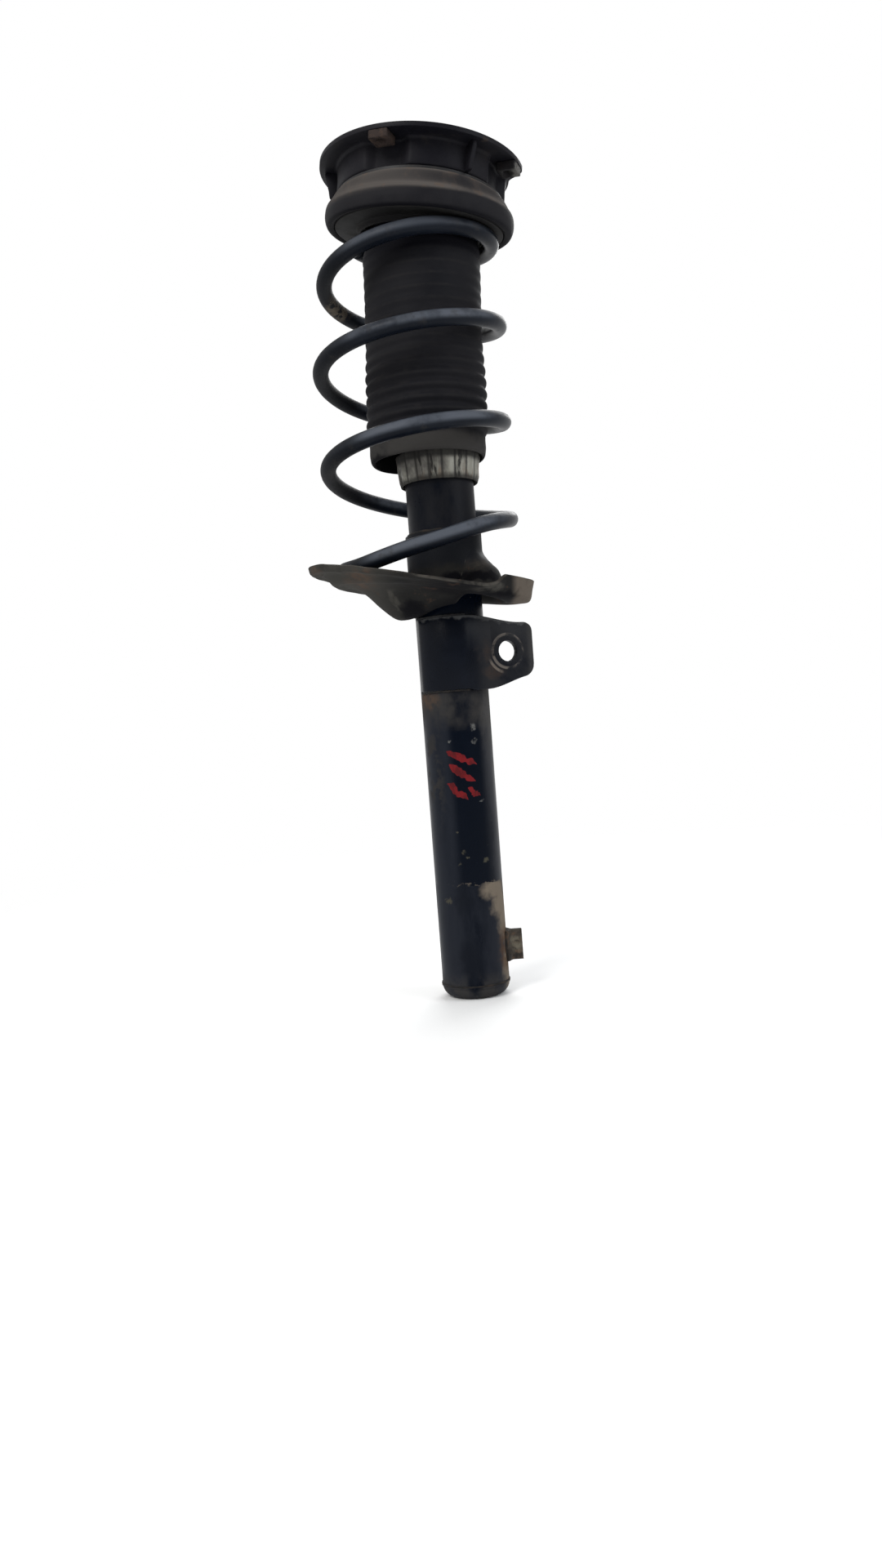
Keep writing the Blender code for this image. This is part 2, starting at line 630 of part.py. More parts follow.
def make_upper_spring_plate(axis):
    """A wedge-shaped ring: flat on top for the bearing, sloping underneath for the spring. Its
    rounded rim slopes too, under a lip whose level edge clears the mount's ribs."""
    def section(angle):
        def rim(radius, height, most):
            place, sloped = sloping(angle, radius, height)
            return place, min(sloped, most * MM)
        return [
            (61.5 * MM, 8.4 * MM), (62.7 * MM, 8.0 * MM), rim(65.4, 6.0, 7.2), rim(67.5, 3.0, 6.2),
            rim(68.3, 0.0, 5.0), rim(68.3, -4.5, 3.4), sloping(angle, 66.8, -8.6),
            sloping(angle, 64.2, -10.0), sloping(angle, 61.8, -9.0), sloping(angle, 61.6, -6.3),
            sloping(angle, PLATE_BORE / MM, -6.3), (PLATE_BORE, PLATE_TOP),
            (61.0 * MM, PLATE_TOP), (61.2 * MM, 8.0 * MM)]
    swept_ring("upper_spring_plate", section, PAINT, axis, steps=LARGE_ROUND)

    def pad(angle):
        return [sloping(angle, radius, height) for radius, height in (
            (61.0, -6.6), (61.0, -9.6), (45.0, -9.6), (44.4, -13.5), (42.6, -13.5), (42.0, -6.6))]
    swept_ring("spring_isolator", pad, RUBBER, axis, steps=32)


def make_bearing(spring_side, mount_side):
    groove = BALL_RADIUS + 0.35 * MM
    face = 1.4 * MM
    reach = math.degrees(math.asin(face / groove))
    low_face, high_face = BALL_HEIGHT - face, BALL_HEIGHT + face
    foot = PLATE_TOP + GAP
    lower = arc((BALL_CIRCLE, BALL_HEIGHT), groove, 180.0 + reach, 360.0 - reach, 3)
    turned("bearing_lower_race", [
        (57.0 * MM, low_face), (57.0 * MM, foot), (41.0 * MM, foot), (41.0 * MM, low_face),
        *lower], STEEL, spring_side, steps=32)
    upper = arc((BALL_CIRCLE, BALL_HEIGHT), groove, reach, 180.0 - reach, 3)
    top = CUP_BOTTOM - GAP
    turned("bearing_cover", [
        (60.6 * MM, top), (60.6 * MM, foot + 1.0 * MM), (58.0 * MM, foot + 1.0 * MM),
        (58.0 * MM, high_face), *upper, (41.0 * MM, high_face), (41.0 * MM, top)],
        PLASTIC, mount_side, steps=32)

    band = ring("bearing_cage", BALL_CIRCLE + 2.1 * MM, BALL_CIRCLE - 2.1 * MM,
                BALL_HEIGHT - 0.8 * MM, BALL_HEIGHT + 0.8 * MM, PLASTIC, spring_side, steps=18)
    balls = bpy.data.meshes.new("bearing_balls")
    work = bmesh.new()
    for x, y in polygon(BALL_CIRCLE, BALL_COUNT):
        made = bmesh.ops.create_icosphere(work, subdivisions=1, radius=BALL_RADIUS)
        bmesh.ops.translate(work, vec=(x, y, BALL_HEIGHT), verts=made["verts"])
    work.to_mesh(balls)
    work.free()
    boolean(band, add_cutter("bearing_balls", balls, spring_side), "UNION")


# ---------------------------------------------------------------- dust boot

def make_dust_boot():
    """A ribbed sleeve hung from the spring plate. Its lower end hangs to one side."""
    def middle(height):
        return blend_between(-1.0, -6.6, (BOOT_SHOULDER - height) / (BOOT_SHOULDER - BOOT_BOTTOM)) * MM

    def rib_depth(height):
        return blend_between(1.5, 0.55, smooth_step((height / MM - 440.0) / 60.0)) * MM

    outer = [(34.8 * MM, 560.0 * MM), (37.2 * MM, 560.0 * MM), (37.2 * MM, 549.0 * MM),
             (41.5 * MM, 546.0 * MM)]
    ribs, lip_top = 16, 408.0 * MM
    pitch = (BOOT_SHOULDER - lip_top) / ribs
    for index in range(ribs):
        crest = BOOT_SHOULDER - pitch * (index + 0.25)
        valley = BOOT_SHOULDER - pitch * (index + 0.75)
        outer += [(BOOT_RADIUS, crest), (BOOT_RADIUS - rib_depth(valley), valley)]
    outer += [(41.8 * MM, lip_top - 2.0 * MM), (41.4 * MM, BOOT_BOTTOM + 1.5 * MM),
              (40.9 * MM, BOOT_BOTTOM)]
    inner = [(39.3 * MM, BOOT_BOTTOM), (39.5 * MM, lip_top), (41.4 * MM, 450.0 * MM),
             (41.5 * MM, 541.0 * MM), (34.8 * MM, 546.0 * MM)]
    loop = outer + inner
    steps = 26
    vertices, faces = [], []
    for i in range(steps):
        angle = 2.0 * math.pi * i / steps
        vertices += [(middle(z) + r * math.cos(angle), r * math.sin(angle), z) for r, z in loop]
    count = len(loop)
    for i in range(steps):
        here, there = i * count, (i + 1) % steps * count
        for j in range(count):
            k = (j + 1) % count
            faces.append((here + j, here + k, there + k, there + j))
    add_part("dust_boot", mesh_from("dust_boot", vertices, faces), RUBBER)


# ---------------------------------------------------------------- top mount

def pocket(angle):
    """How far the cup's wall is pressed in behind each weld nut, from 0 to 1."""
    nearest = min(abs(math.remainder(angle - lug, 2.0 * math.pi)) for lug in LUG_ANGLES)
    return 1.0 - smooth_step((nearest - math.radians(9.0)) / math.radians(8.0))


def flange_radius(angle):
    """The flange is round but for the notch between two lugs, where it shrinks to a lip."""
    first, last = FLANGE_NOTCH
    middle = math.radians(first + last) / 2.0
    from_middle = math.degrees(abs(math.remainder(angle - middle, 2.0 * math.pi)))
    notch = smooth_step(((last - first) / 2.0 - from_middle) / 14.0)
    return blend_between(FLANGE_RADIUS, CUP_RADIUS + 2.0 * MM, notch)


def make_mount_shell(axis):
    """The cup of the mount. Its wall is the mouth's edge, then goes down to the floor and the collar."""
    mouth = FLANGE_UNDERSIDE + MOUNT_SHEET

    def profile(angle):
        dip = 5.8 * MM * pocket(angle)
        return [
            (CUP_RADIUS - dip, mouth), (CUP_RADIUS - dip, FLANGE_UNDERSIDE - 1.6 * MM),
            (CUP_RADIUS - 0.4 * MM - dip, 21.0 * MM),
            (CUP_RADIUS - 0.3 * MM - 0.9 * dip, CUP_BOTTOM + 3.4 * MM),
            (CUP_RADIUS - 0.6 * MM - 0.8 * dip, CUP_BOTTOM + 0.8 * MM),
            (CUP_RADIUS - 2.6 * MM - 0.7 * dip, CUP_BOTTOM), (44.0 * MM, CUP_BOTTOM),
            (COLLAR_RADIUS + 1.8 * MM, CUP_BOTTOM + 0.9 * MM),
            (COLLAR_RADIUS, CUP_BOTTOM + 4.0 * MM), (COLLAR_RADIUS, COLLAR_TOP)]
    shell = sheet_ring("mount_shell", profile, MOUNT_SHEET, PAINT, axis, steps=48)
    top = FLANGE_UNDERSIDE - GAP
    for index, angle in enumerate(RIB_ANGLES, 1):
        reach = min(flange_radius(angle) - 2.5 * MM, CUP_RADIUS + 9.0 * MM)
        outline = [(CUP_RADIUS - 1.8 * MM, top), (reach, top), (reach, top - 2.7 * MM),
                   (min(reach, CUP_RADIUS + 6.0 * MM), 18.0 * MM),
                   (min(reach, CUP_RADIUS + 5.0 * MM), 12.4 * MM), (CUP_RADIUS - 1.8 * MM, 12.1 * MM)]
        rib = add_cutter(f"rib_{index}", plate_mesh(f"rib_{index}", outline, 3.0 * MM), axis)
        rib.rotation_euler = (math.pi / 2.0, 0.0, angle)
        boolean(shell, rib, "UNION")


def make_mount_flange(axis):
    """The flat ring round the cup's mouth that the car body lies on, with its three bolt holes."""
    def section(angle):
        inner = CUP_RADIUS + GAP - 5.8 * MM * pocket(angle)
        outer = flange_radius(angle)
        top = FLANGE_UNDERSIDE + MOUNT_SHEET
        return [(outer, top), (outer, FLANGE_UNDERSIDE), (inner, FLANGE_UNDERSIDE), (inner, top)]
    flange = swept_ring("mount_flange", section, PAINT, axis, steps=48)
    for index, angle in enumerate(LUG_ANGLES, 1):
        hole = add_cutter(f"bolt_hole_{index}",
                          cylinder_mesh(f"bolt_hole_{index}", BOLT_HOLE_RADIUS, 12.0 * MM), axis)
        hole.location = (BOLT_CIRCLE * math.cos(angle), BOLT_CIRCLE * math.sin(angle),
                         FLANGE_UNDERSIDE)
        boolean(flange, hole, "DIFFERENCE")


def make_weld_nuts(axis):
    side = WELD_NUT_WIDTH / math.sqrt(2.0)
    mesh = plate_mesh("weld_nut", polygon(side, 4, math.pi / 4.0), WELD_NUT_HEIGHT,
                      [polygon(3.5 * MM, 20)])
    for index, angle in enumerate(LUG_ANGLES, 1):
        nut = add_part(f"weld_nut_{index}", mesh if index == 1 else mesh.copy(), RUST, axis)
        nut.location = (BOLT_CIRCLE * math.cos(angle), BOLT_CIRCLE * math.sin(angle),
                        FLANGE_UNDERSIDE - GAP - WELD_NUT_HEIGHT / 2.0)
        nut.rotation_euler.z = angle


def make_mount_rubber(axis):
    socket = CORE_RADIUS + GAP
    edge = math.degrees(math.asin(10.5 * MM / socket))
    outer = COLLAR_RADIUS - GAP
    turned("mount_rubber", [
        (26.0 * MM, 11.0 * MM), (31.0 * MM, 16.5 * MM), (36.0 * MM, 26.0 * MM), (outer, 26.0 * MM),
        (outer, 9.0 * MM), (34.0 * MM, 3.0 * MM), (26.0 * MM, -5.0 * MM), (20.0 * MM, -9.5 * MM),
        *arc((0.0, 0.0), socket, -edge, edge, 5)], RUBBER, axis, steps=24)


def leaning_axis(name):
    axis = bpy.data.objects.new(name, None)
    PARTS.objects.link(axis)
    axis.location.z = PIVOT_HEIGHT
    axis.rotation_euler.y = MOUNT_LEAN
    return axis


clear_scene()
PARTS = collection("suspension_strut")
CUTTERS = collection("cutters")

make_strut_tube()
make_tube_end_cap()
make_pressure_cylinder()
make_base_valve()
make_rod_guide()
make_bump_cap()
make_lower_spring_seat()
make_coil_spring()
make_link_bracket()
make_locating_tab()
make_piston_rod()
make_piston()
make_bump_stop()
make_rod_top()
spring_axis = leaning_axis("spring_plate_axis")
mount_axis = leaning_axis("mount_axis")
make_upper_spring_plate(spring_axis)
make_bearing(spring_axis, mount_axis)
make_dust_boot()
make_mount_shell(mount_axis)
make_mount_flange(mount_axis)
make_weld_nuts(mount_axis)
make_mount_rubber(mount_axis)
bpy.context.view_layer.update()
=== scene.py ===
import json
import math

import bmesh
import bpy
from mathutils import Matrix, Vector, noise


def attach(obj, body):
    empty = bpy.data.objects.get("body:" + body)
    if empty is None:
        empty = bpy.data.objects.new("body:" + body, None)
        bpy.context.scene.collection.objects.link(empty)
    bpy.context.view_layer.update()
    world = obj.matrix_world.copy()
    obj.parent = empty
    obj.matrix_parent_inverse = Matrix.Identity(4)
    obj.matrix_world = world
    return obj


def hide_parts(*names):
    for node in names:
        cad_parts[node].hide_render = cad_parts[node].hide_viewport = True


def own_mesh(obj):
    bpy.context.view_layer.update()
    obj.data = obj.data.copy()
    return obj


mm = 0.001

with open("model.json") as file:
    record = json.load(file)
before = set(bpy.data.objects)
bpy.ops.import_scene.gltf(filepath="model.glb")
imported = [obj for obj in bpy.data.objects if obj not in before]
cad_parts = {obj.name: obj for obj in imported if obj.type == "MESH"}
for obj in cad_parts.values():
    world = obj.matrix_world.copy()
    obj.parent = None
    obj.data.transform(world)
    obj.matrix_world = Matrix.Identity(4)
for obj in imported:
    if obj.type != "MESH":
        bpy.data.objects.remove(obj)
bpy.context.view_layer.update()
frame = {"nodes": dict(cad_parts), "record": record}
print("frame loaded:", len(frame["nodes"]), "nodes")


# small tools for every piece; sizes are in mm until a mesh is made

def between(low, high, share):
    return low + (high - low) * share


def easeIn(value):
    value = min(max(value, 0.0), 1.0)
    return value * value * (3.0 - 2.0 * value)


def rounded(points, radius, closed=True, cuts=3):
    # every corner of a (radius, height) outline becomes a small curve; a third number is its own radius
    made = []
    count = len(points)
    for i, point in enumerate(points):
        here = Vector(point[:2])
        size = point[2] if len(point) > 2 else radius
        if size <= 0.0 or (not closed and i in (0, count - 1)):
            made.append(tuple(here))
            continue
        before, after = Vector(points[i - 1][:2]), Vector(points[(i + 1) % count][:2])
        toBefore, toAfter = before - here, after - here
        # a point on an almost straight run stays as it is
        if toBefore.length < 1e-9 or toAfter.length < 1e-9 or toBefore.angle(toAfter, math.pi) > 2.97:
            made.append(tuple(here))
            continue
        start = here + toBefore.normalized() * min(size, toBefore.length * 0.45)
        end = here + toAfter.normalized() * min(size, toAfter.length * 0.45)
        for cut in range(cuts + 1):
            share = cut / cuts
            made.append(tuple(start.lerp(here, share).lerp(here.lerp(end, share), share)))
    return made


def smoothLine(points, cuts):
    # a smooth line through the points, cuts steps from one to the next
    made = []
    count = len(points)
    for i in range(count - 1):
        first = points[max(i - 1, 0)]
        last = points[min(i + 2, count - 1)]
        for cut in range(cuts):
            t = cut / cuts
            made.append(tuple(
                0.5 * (2 * b + (c - a) * t + (2 * a - 5 * b + 4 * c - d) * t * t
                       + (3 * b - a - 3 * c + d) * t ** 3)
                for a, b, c, d in zip(first, points[i], points[i + 1], last)))
    made.append(tuple(points[-1]))
    return made


def anglesRound(steps):
    return [2.0 * math.pi * i / steps for i in range(steps)]


def ringOf(radius, sides):
    return [(radius * math.cos(angle), radius * math.sin(angle)) for angle in anglesRound(sides)]


def ringPath(radius, height):
    return [(x, y, height) for x, y in ringOf(radius, 160)]


def arc(centreX, centreY, radius, first, last, steps):
    # points on an arc of an outline, left as they are by rounded()
    made = []
    for i in range(steps + 1):
        angle = math.radians(between(first, last, i / steps))
        made.append((centreX + radius * math.cos(angle), centreY + radius * math.sin(angle), 0.0))
    return made


def onCircle(radius, angle, height=0.0):
    # a point round the Z axis, in metres
    return Vector((radius * math.cos(angle), radius * math.sin(angle), height)) * mm


def lumps(point, scale, depth):
    # soft unevenness, up to depth to either side
    return noise.noise(Vector(point) * scale) * depth


def newPiece(name, vertices, faces, sharp):
    mesh = bpy.data.meshes.new(name)
    mesh.from_pydata([tuple(v) for v in vertices], [], faces)
    work = bmesh.new()
    work.from_mesh(mesh)
    bmesh.ops.remove_doubles(work, verts=work.verts, dist=1e-7)
    bmesh.ops.dissolve_degenerate(work, edges=work.edges, dist=1e-7)
    bmesh.ops.recalc_face_normals(work, faces=work.faces)
    work.to_mesh(mesh)
    work.free()
    mesh.shade_smooth()
    mesh.set_sharp_from_angle(angle=math.radians(sharp))
    piece = bpy.data.objects.new(name, mesh)
    bpy.context.scene.collection.objects.link(piece)
    return piece


def skin(name, rows, loopAcross=True, loopAlong=True, ends=False, sharp=38.0):
    # rows of points joined into a surface
    count = len(rows[0])
    vertices = [point for row in rows for point in row]
    faces = []
    for i in range(len(rows) if loopAlong else len(rows) - 1):
        here, there = i * count, (i + 1) % len(rows) * count
        for j in range(count if loopAcross else count - 1):
            k = (j + 1) % count
            faces.append((here + j, here + k, there + k, there + j))
    if ends:
        faces.append(tuple(range(count))[::-1])
        faces.append(tuple(range((len(rows) - 1) * count, len(rows) * count)))
    return newPiece(name, vertices, faces, sharp)


def turned(name, profile, steps=96, radius=0.4, solid=False, place=None, sharp=38.0, shift=None):
    # profile down the outer side first; shift moves a point of the finished ring
    outline = rounded(profile, radius, closed=not solid)
    rows = []
    for angle in anglesRound(steps):
        row = []
        for r, z in outline:
            point = Vector((r * math.cos(angle), r * math.sin(angle), z))
            if shift:
                point = shift(point, angle)
            row.append(point * mm)
        rows.append(row)
    piece = skin(name, rows, loopAcross=not solid, sharp=sharp)
    if place:
        piece.data.transform(place)
    return piece


def evaluatedMesh(piece):
    bpy.context.view_layer.update()
    evaluated = piece.evaluated_get(bpy.context.evaluated_depsgraph_get())
    mesh = bpy.data.meshes.new_from_object(evaluated)
    mesh.name = piece.name
    return mesh


def applyModifiers(piece):
    mesh = evaluatedMesh(piece)
    piece.modifiers.clear()
    piece.data = mesh


def cutWith(piece, tool, operation="DIFFERENCE"):
    change = piece.modifiers.new(operation, "BOOLEAN")
    change.operation = operation
    change.object = tool
    change.solver = "EXACT"
    applyModifiers(piece)
    bpy.data.objects.remove(tool, do_unlink=True)
    piece.data.shade_smooth()
    piece.data.set_sharp_from_angle(angle=math.radians(34.0))


def roundEdges(piece, width, segments=2, angle=32.0):
    bevel = piece.modifiers.new("edges", "BEVEL")
    bevel.width = width
    bevel.segments = segments
    bevel.limit_method = "ANGLE"
    bevel.angle_limit = math.radians(angle)
    applyModifiers(piece)
    piece.data.shade_smooth()
    piece.data.set_sharp_from_angle(angle=math.radians(50.0))


def plate(name, outline, bottom, top, place=None):
    # a flat plate with its outline in mm, between two heights
    rows = [[Vector((x, y, z)) * mm for x, y in outline] for z in (bottom, top)]
    piece = skin(name, rows, loopAlong=False, ends=True)
    if place:
        piece.data.transform(place)
    return piece


def peg(name, radius, bottom, top, place, sides):
    return plate(name, ringOf(radius, sides), bottom, top, place)


def roundBall(name, radius, fineness):
    mesh = bpy.data.meshes.new(name)
    work = bmesh.new()
    bmesh.ops.create_icosphere(work, subdivisions=fineness, radius=radius * mm)
    work.to_mesh(mesh)
    work.free()
    mesh.shade_smooth()
    ball = bpy.data.objects.new(name, mesh)
    bpy.context.scene.collection.objects.link(ball)
    return ball


def thicken(piece, thickness):
    # a wall on the upper side of a sheet
    facing = sum(face.normal.z * face.area for face in piece.data.polygons)
    wall = piece.modifiers.new("sheet", "SOLIDIFY")
    wall.thickness = thickness * mm
    wall.offset = 1.0 if facing > 0.0 else -1.0
    wall.use_even_offset = True
    applyModifiers(piece)


def settle(piece, body, slotName, nodes=(), finishName=None):
    # the last step of a piece: its material, the body that it rides on and what it stands for
    piece.data.materials.clear()
    piece.data.materials.append(finishes[finishName or slotName])
    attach(piece, body)
    if nodes:
        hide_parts(*nodes)


# node trees: helpers first, then the geometry trees and the finishes

def newTree(name, sizes):
    tree = bpy.data.node_groups.new(name, "GeometryNodeTree")
    tree.interface.new_socket("Geometry", in_out="INPUT", socket_type="NodeSocketGeometry")
    tree.interface.new_socket("Geometry", in_out="OUTPUT", socket_type="NodeSocketGeometry")
    for label, kind in sizes:
        tree.interface.new_socket(label, in_out="INPUT", socket_type="NodeSocket" + kind)
    return tree, tree.nodes.new("NodeGroupInput"), tree.nodes.new("NodeGroupOutput")


def addNode(tree, kind, settings=None, **inputs):
    node = tree.nodes.new(kind)
    for label, value in (settings or {}).items():
        setattr(node, label, value)
    for label, value in inputs.items():
        # i0, i1 and so on are sockets by number, the others by name
        number = label[0] == "i" and label[1:].isdigit()
        socket = node.inputs[int(label[1:])] if number else node.inputs[label]
        if isinstance(value, bpy.types.NodeSocket):
            tree.links.new(value, socket)
        else:
            socket.default_value = value
    return node


def maths(tree, operation, *values):
    node = addNode(tree, "ShaderNodeMath", {"operation": operation},
                   **{f"i{index}": value for index, value in enumerate(values)})
    return node.outputs[0]


def endTree(tree, exitNode, geometry):
    realized = addNode(tree, "GeometryNodeRealizeInstances", Geometry=geometry)
    painted = addNode(tree, "GeometryNodeSetMaterial", Geometry=realized.outputs[0],
                      Material=tree.nodes["Group Input"].outputs["Material"])
    tree.links.new(painted.outputs[0], exitNode.inputs[0])


def grow(piece, tree, **sizes):
    # runs a tree on a piece and keeps the result as a plain mesh
    change = piece.modifiers.new("grow", "NODES")
    change.node_group = tree
    for item in tree.interface.items_tree:
        if item.item_type == "SOCKET" and item.in_out == "INPUT" and item.name in sizes:
            change[item.identifier] = sizes[item.name]
    mesh = evaluatedMesh(piece)
    name = piece.name
    bpy.data.objects.remove(piece, do_unlink=True)
    grown = bpy.data.objects.new(name, mesh)
    bpy.context.scene.collection.objects.link(grown)
    return grown


def makeSweepTree():
    # a round bar along a path, with lumps for weld beads
    tree, enter, leave = newTree("sweep", [
        ("Bar Radius", "Float"), ("Sides", "Int"), ("Lump", "Float"), ("Lump Scale", "Float"),
        ("Material", "Material")])
    circle = addNode(tree, "GeometryNodeCurvePrimitiveCircle", {"mode": "RADIUS"},
                     Resolution=enter.outputs["Sides"], Radius=enter.outputs["Bar Radius"])
    bar = addNode(tree, "GeometryNodeCurveToMesh", **{
        "Curve": enter.outputs["Geometry"], "Profile Curve": circle.outputs[0], "Fill Caps": True})
    rough = addNode(tree, "ShaderNodeTexNoise", Scale=enter.outputs["Lump Scale"])
    depth = maths(tree, "MULTIPLY", maths(tree, "SUBTRACT", rough.outputs[0], 0.5), enter.outputs["Lump"])
    normal = addNode(tree, "GeometryNodeInputNormal")
    push = addNode(tree, "ShaderNodeVectorMath", {"operation": "SCALE"}, i0=normal.outputs[0], Scale=depth)
    moved = addNode(tree, "GeometryNodeSetPosition", Geometry=bar.outputs[0], Offset=push.outputs[0])
    smooth = addNode(tree, "GeometryNodeSetShadeSmooth", Geometry=moved.outputs[0])
    endTree(tree, leave, smooth.outputs[0])
    return tree


def makeFluteTree():
    # waves that run round a ring, or along its axis, and push its outer side in and out
    tree, enter, leave = newTree("flutes", [
        ("Flutes Round", "Float"), ("Flutes Per Metre", "Float"), ("Start Height", "Float"),
        ("Depth", "Float"), ("Sharpness", "Float"), ("Weight", "String"), ("Material", "Material")])
    position = addNode(tree, "GeometryNodeInputPosition")
    x, y, z = addNode(tree, "ShaderNodeSeparateXYZ", Vector=position.outputs[0]).outputs
    turn = maths(tree, "MULTIPLY", maths(tree, "ARCTAN2", y, x), enter.outputs["Flutes Round"])
    rise = maths(tree, "SUBTRACT", z, enter.outputs["Start Height"])
    climb = maths(tree, "MULTIPLY", rise, enter.outputs["Flutes Per Metre"])
    climb = maths(tree, "MULTIPLY", climb, 2.0 * math.pi)
    wave = maths(tree, "COSINE", maths(tree, "ADD", turn, climb))
    shaped = maths(tree, "POWER", maths(tree, "MULTIPLY_ADD", wave, 0.5, 0.5), enter.outputs["Sharpness"])
    weight = addNode(tree, "GeometryNodeInputNamedAttribute", {"data_type": "FLOAT"},
                     Name=enter.outputs["Weight"])
    depth = maths(tree, "MULTIPLY", shaped, weight.outputs[0])
    depth = maths(tree, "MULTIPLY", depth, enter.outputs["Depth"])
    flat = addNode(tree, "ShaderNodeCombineXYZ", X=x, Y=y)
    outward = addNode(tree, "ShaderNodeVectorMath", {"operation": "NORMALIZE"}, i0=flat.outputs[0])
    push = addNode(tree, "ShaderNodeVectorMath", {"operation": "SCALE"}, i0=outward.outputs[0], Scale=depth)
    moved = addNode(tree, "GeometryNodeSetPosition", Geometry=enter.outputs["Geometry"],
                    Offset=push.outputs[0])
    kept = addNode(tree, "GeometryNodeStoreNamedAttribute", {"data_type": "FLOAT", "domain": "POINT"},
                   Geometry=moved.outputs[0], Name="crest", Value=shaped)
    endTree(tree, leave, kept.outputs[0])
    return tree


def makeRoundTree():
    # copies of a piece spaced evenly round a circle
    tree, enter, leave = newTree("roundCircle", [
        ("Circle Radius", "Float"), ("Count", "Int"), ("Height", "Float"), ("Material", "Material")])
    circle = addNode(tree, "GeometryNodeMeshCircle", Vertices=enter.outputs["Count"],
                     Radius=enter.outputs["Circle Radius"])
    lift = addNode(tree, "ShaderNodeCombineXYZ", Z=enter.outputs["Height"])
    placed = addNode(tree, "GeometryNodeTransform", Geometry=circle.outputs[0],
                     Translation=lift.outputs[0])
    copies = addNode(tree, "GeometryNodeInstanceOnPoints", Points=placed.outputs[0],
                     Instance=enter.outputs["Geometry"])
    endTree(tree, leave, copies.outputs[0])
    return tree


def makeThreadTree():
    # a screw thread: a sharp ridge wound round a stem
    tree, enter, leave = newTree("thread", [
        ("Stem Radius", "Float"), ("Pitch", "Float"), ("Turns", "Float"), ("Bottom", "Float"),
        ("Material", "Material")])
    height = maths(tree, "MULTIPLY", enter.outputs["Turns"], enter.outputs["Pitch"])
    spiral = addNode(tree, "GeometryNodeCurveSpiral", **{
        "Resolution": 28, "Rotations": enter.outputs["Turns"], "Start Radius": enter.outputs["Stem Radius"],
        "End Radius": enter.outputs["Stem Radius"], "Height": height})
    # a ridge a little wider than the pitch, so that its turns meet
    ridge = addNode(tree, "GeometryNodeCurvePrimitiveCircle", {"mode": "RADIUS"}, Resolution=4,
                    Radius=maths(tree, "MULTIPLY", enter.outputs["Pitch"], 0.52))
    wound = addNode(tree, "GeometryNodeCurveToMesh", **{
        "Curve": spiral.outputs[0], "Profile Curve": ridge.outputs[0], "Fill Caps": True})
    lift = addNode(tree, "ShaderNodeCombineXYZ", Z=enter.outputs["Bottom"])
    raised = addNode(tree, "GeometryNodeTransform", Geometry=wound.outputs[0], Translation=lift.outputs[0])
    joined = addNode(tree, "GeometryNodeJoinGeometry")
    tree.links.new(raised.outputs[0], joined.inputs[0])
    tree.links.new(enter.outputs["Geometry"], joined.inputs[0])
    endTree(tree, leave, joined.outputs[0])
    return tree


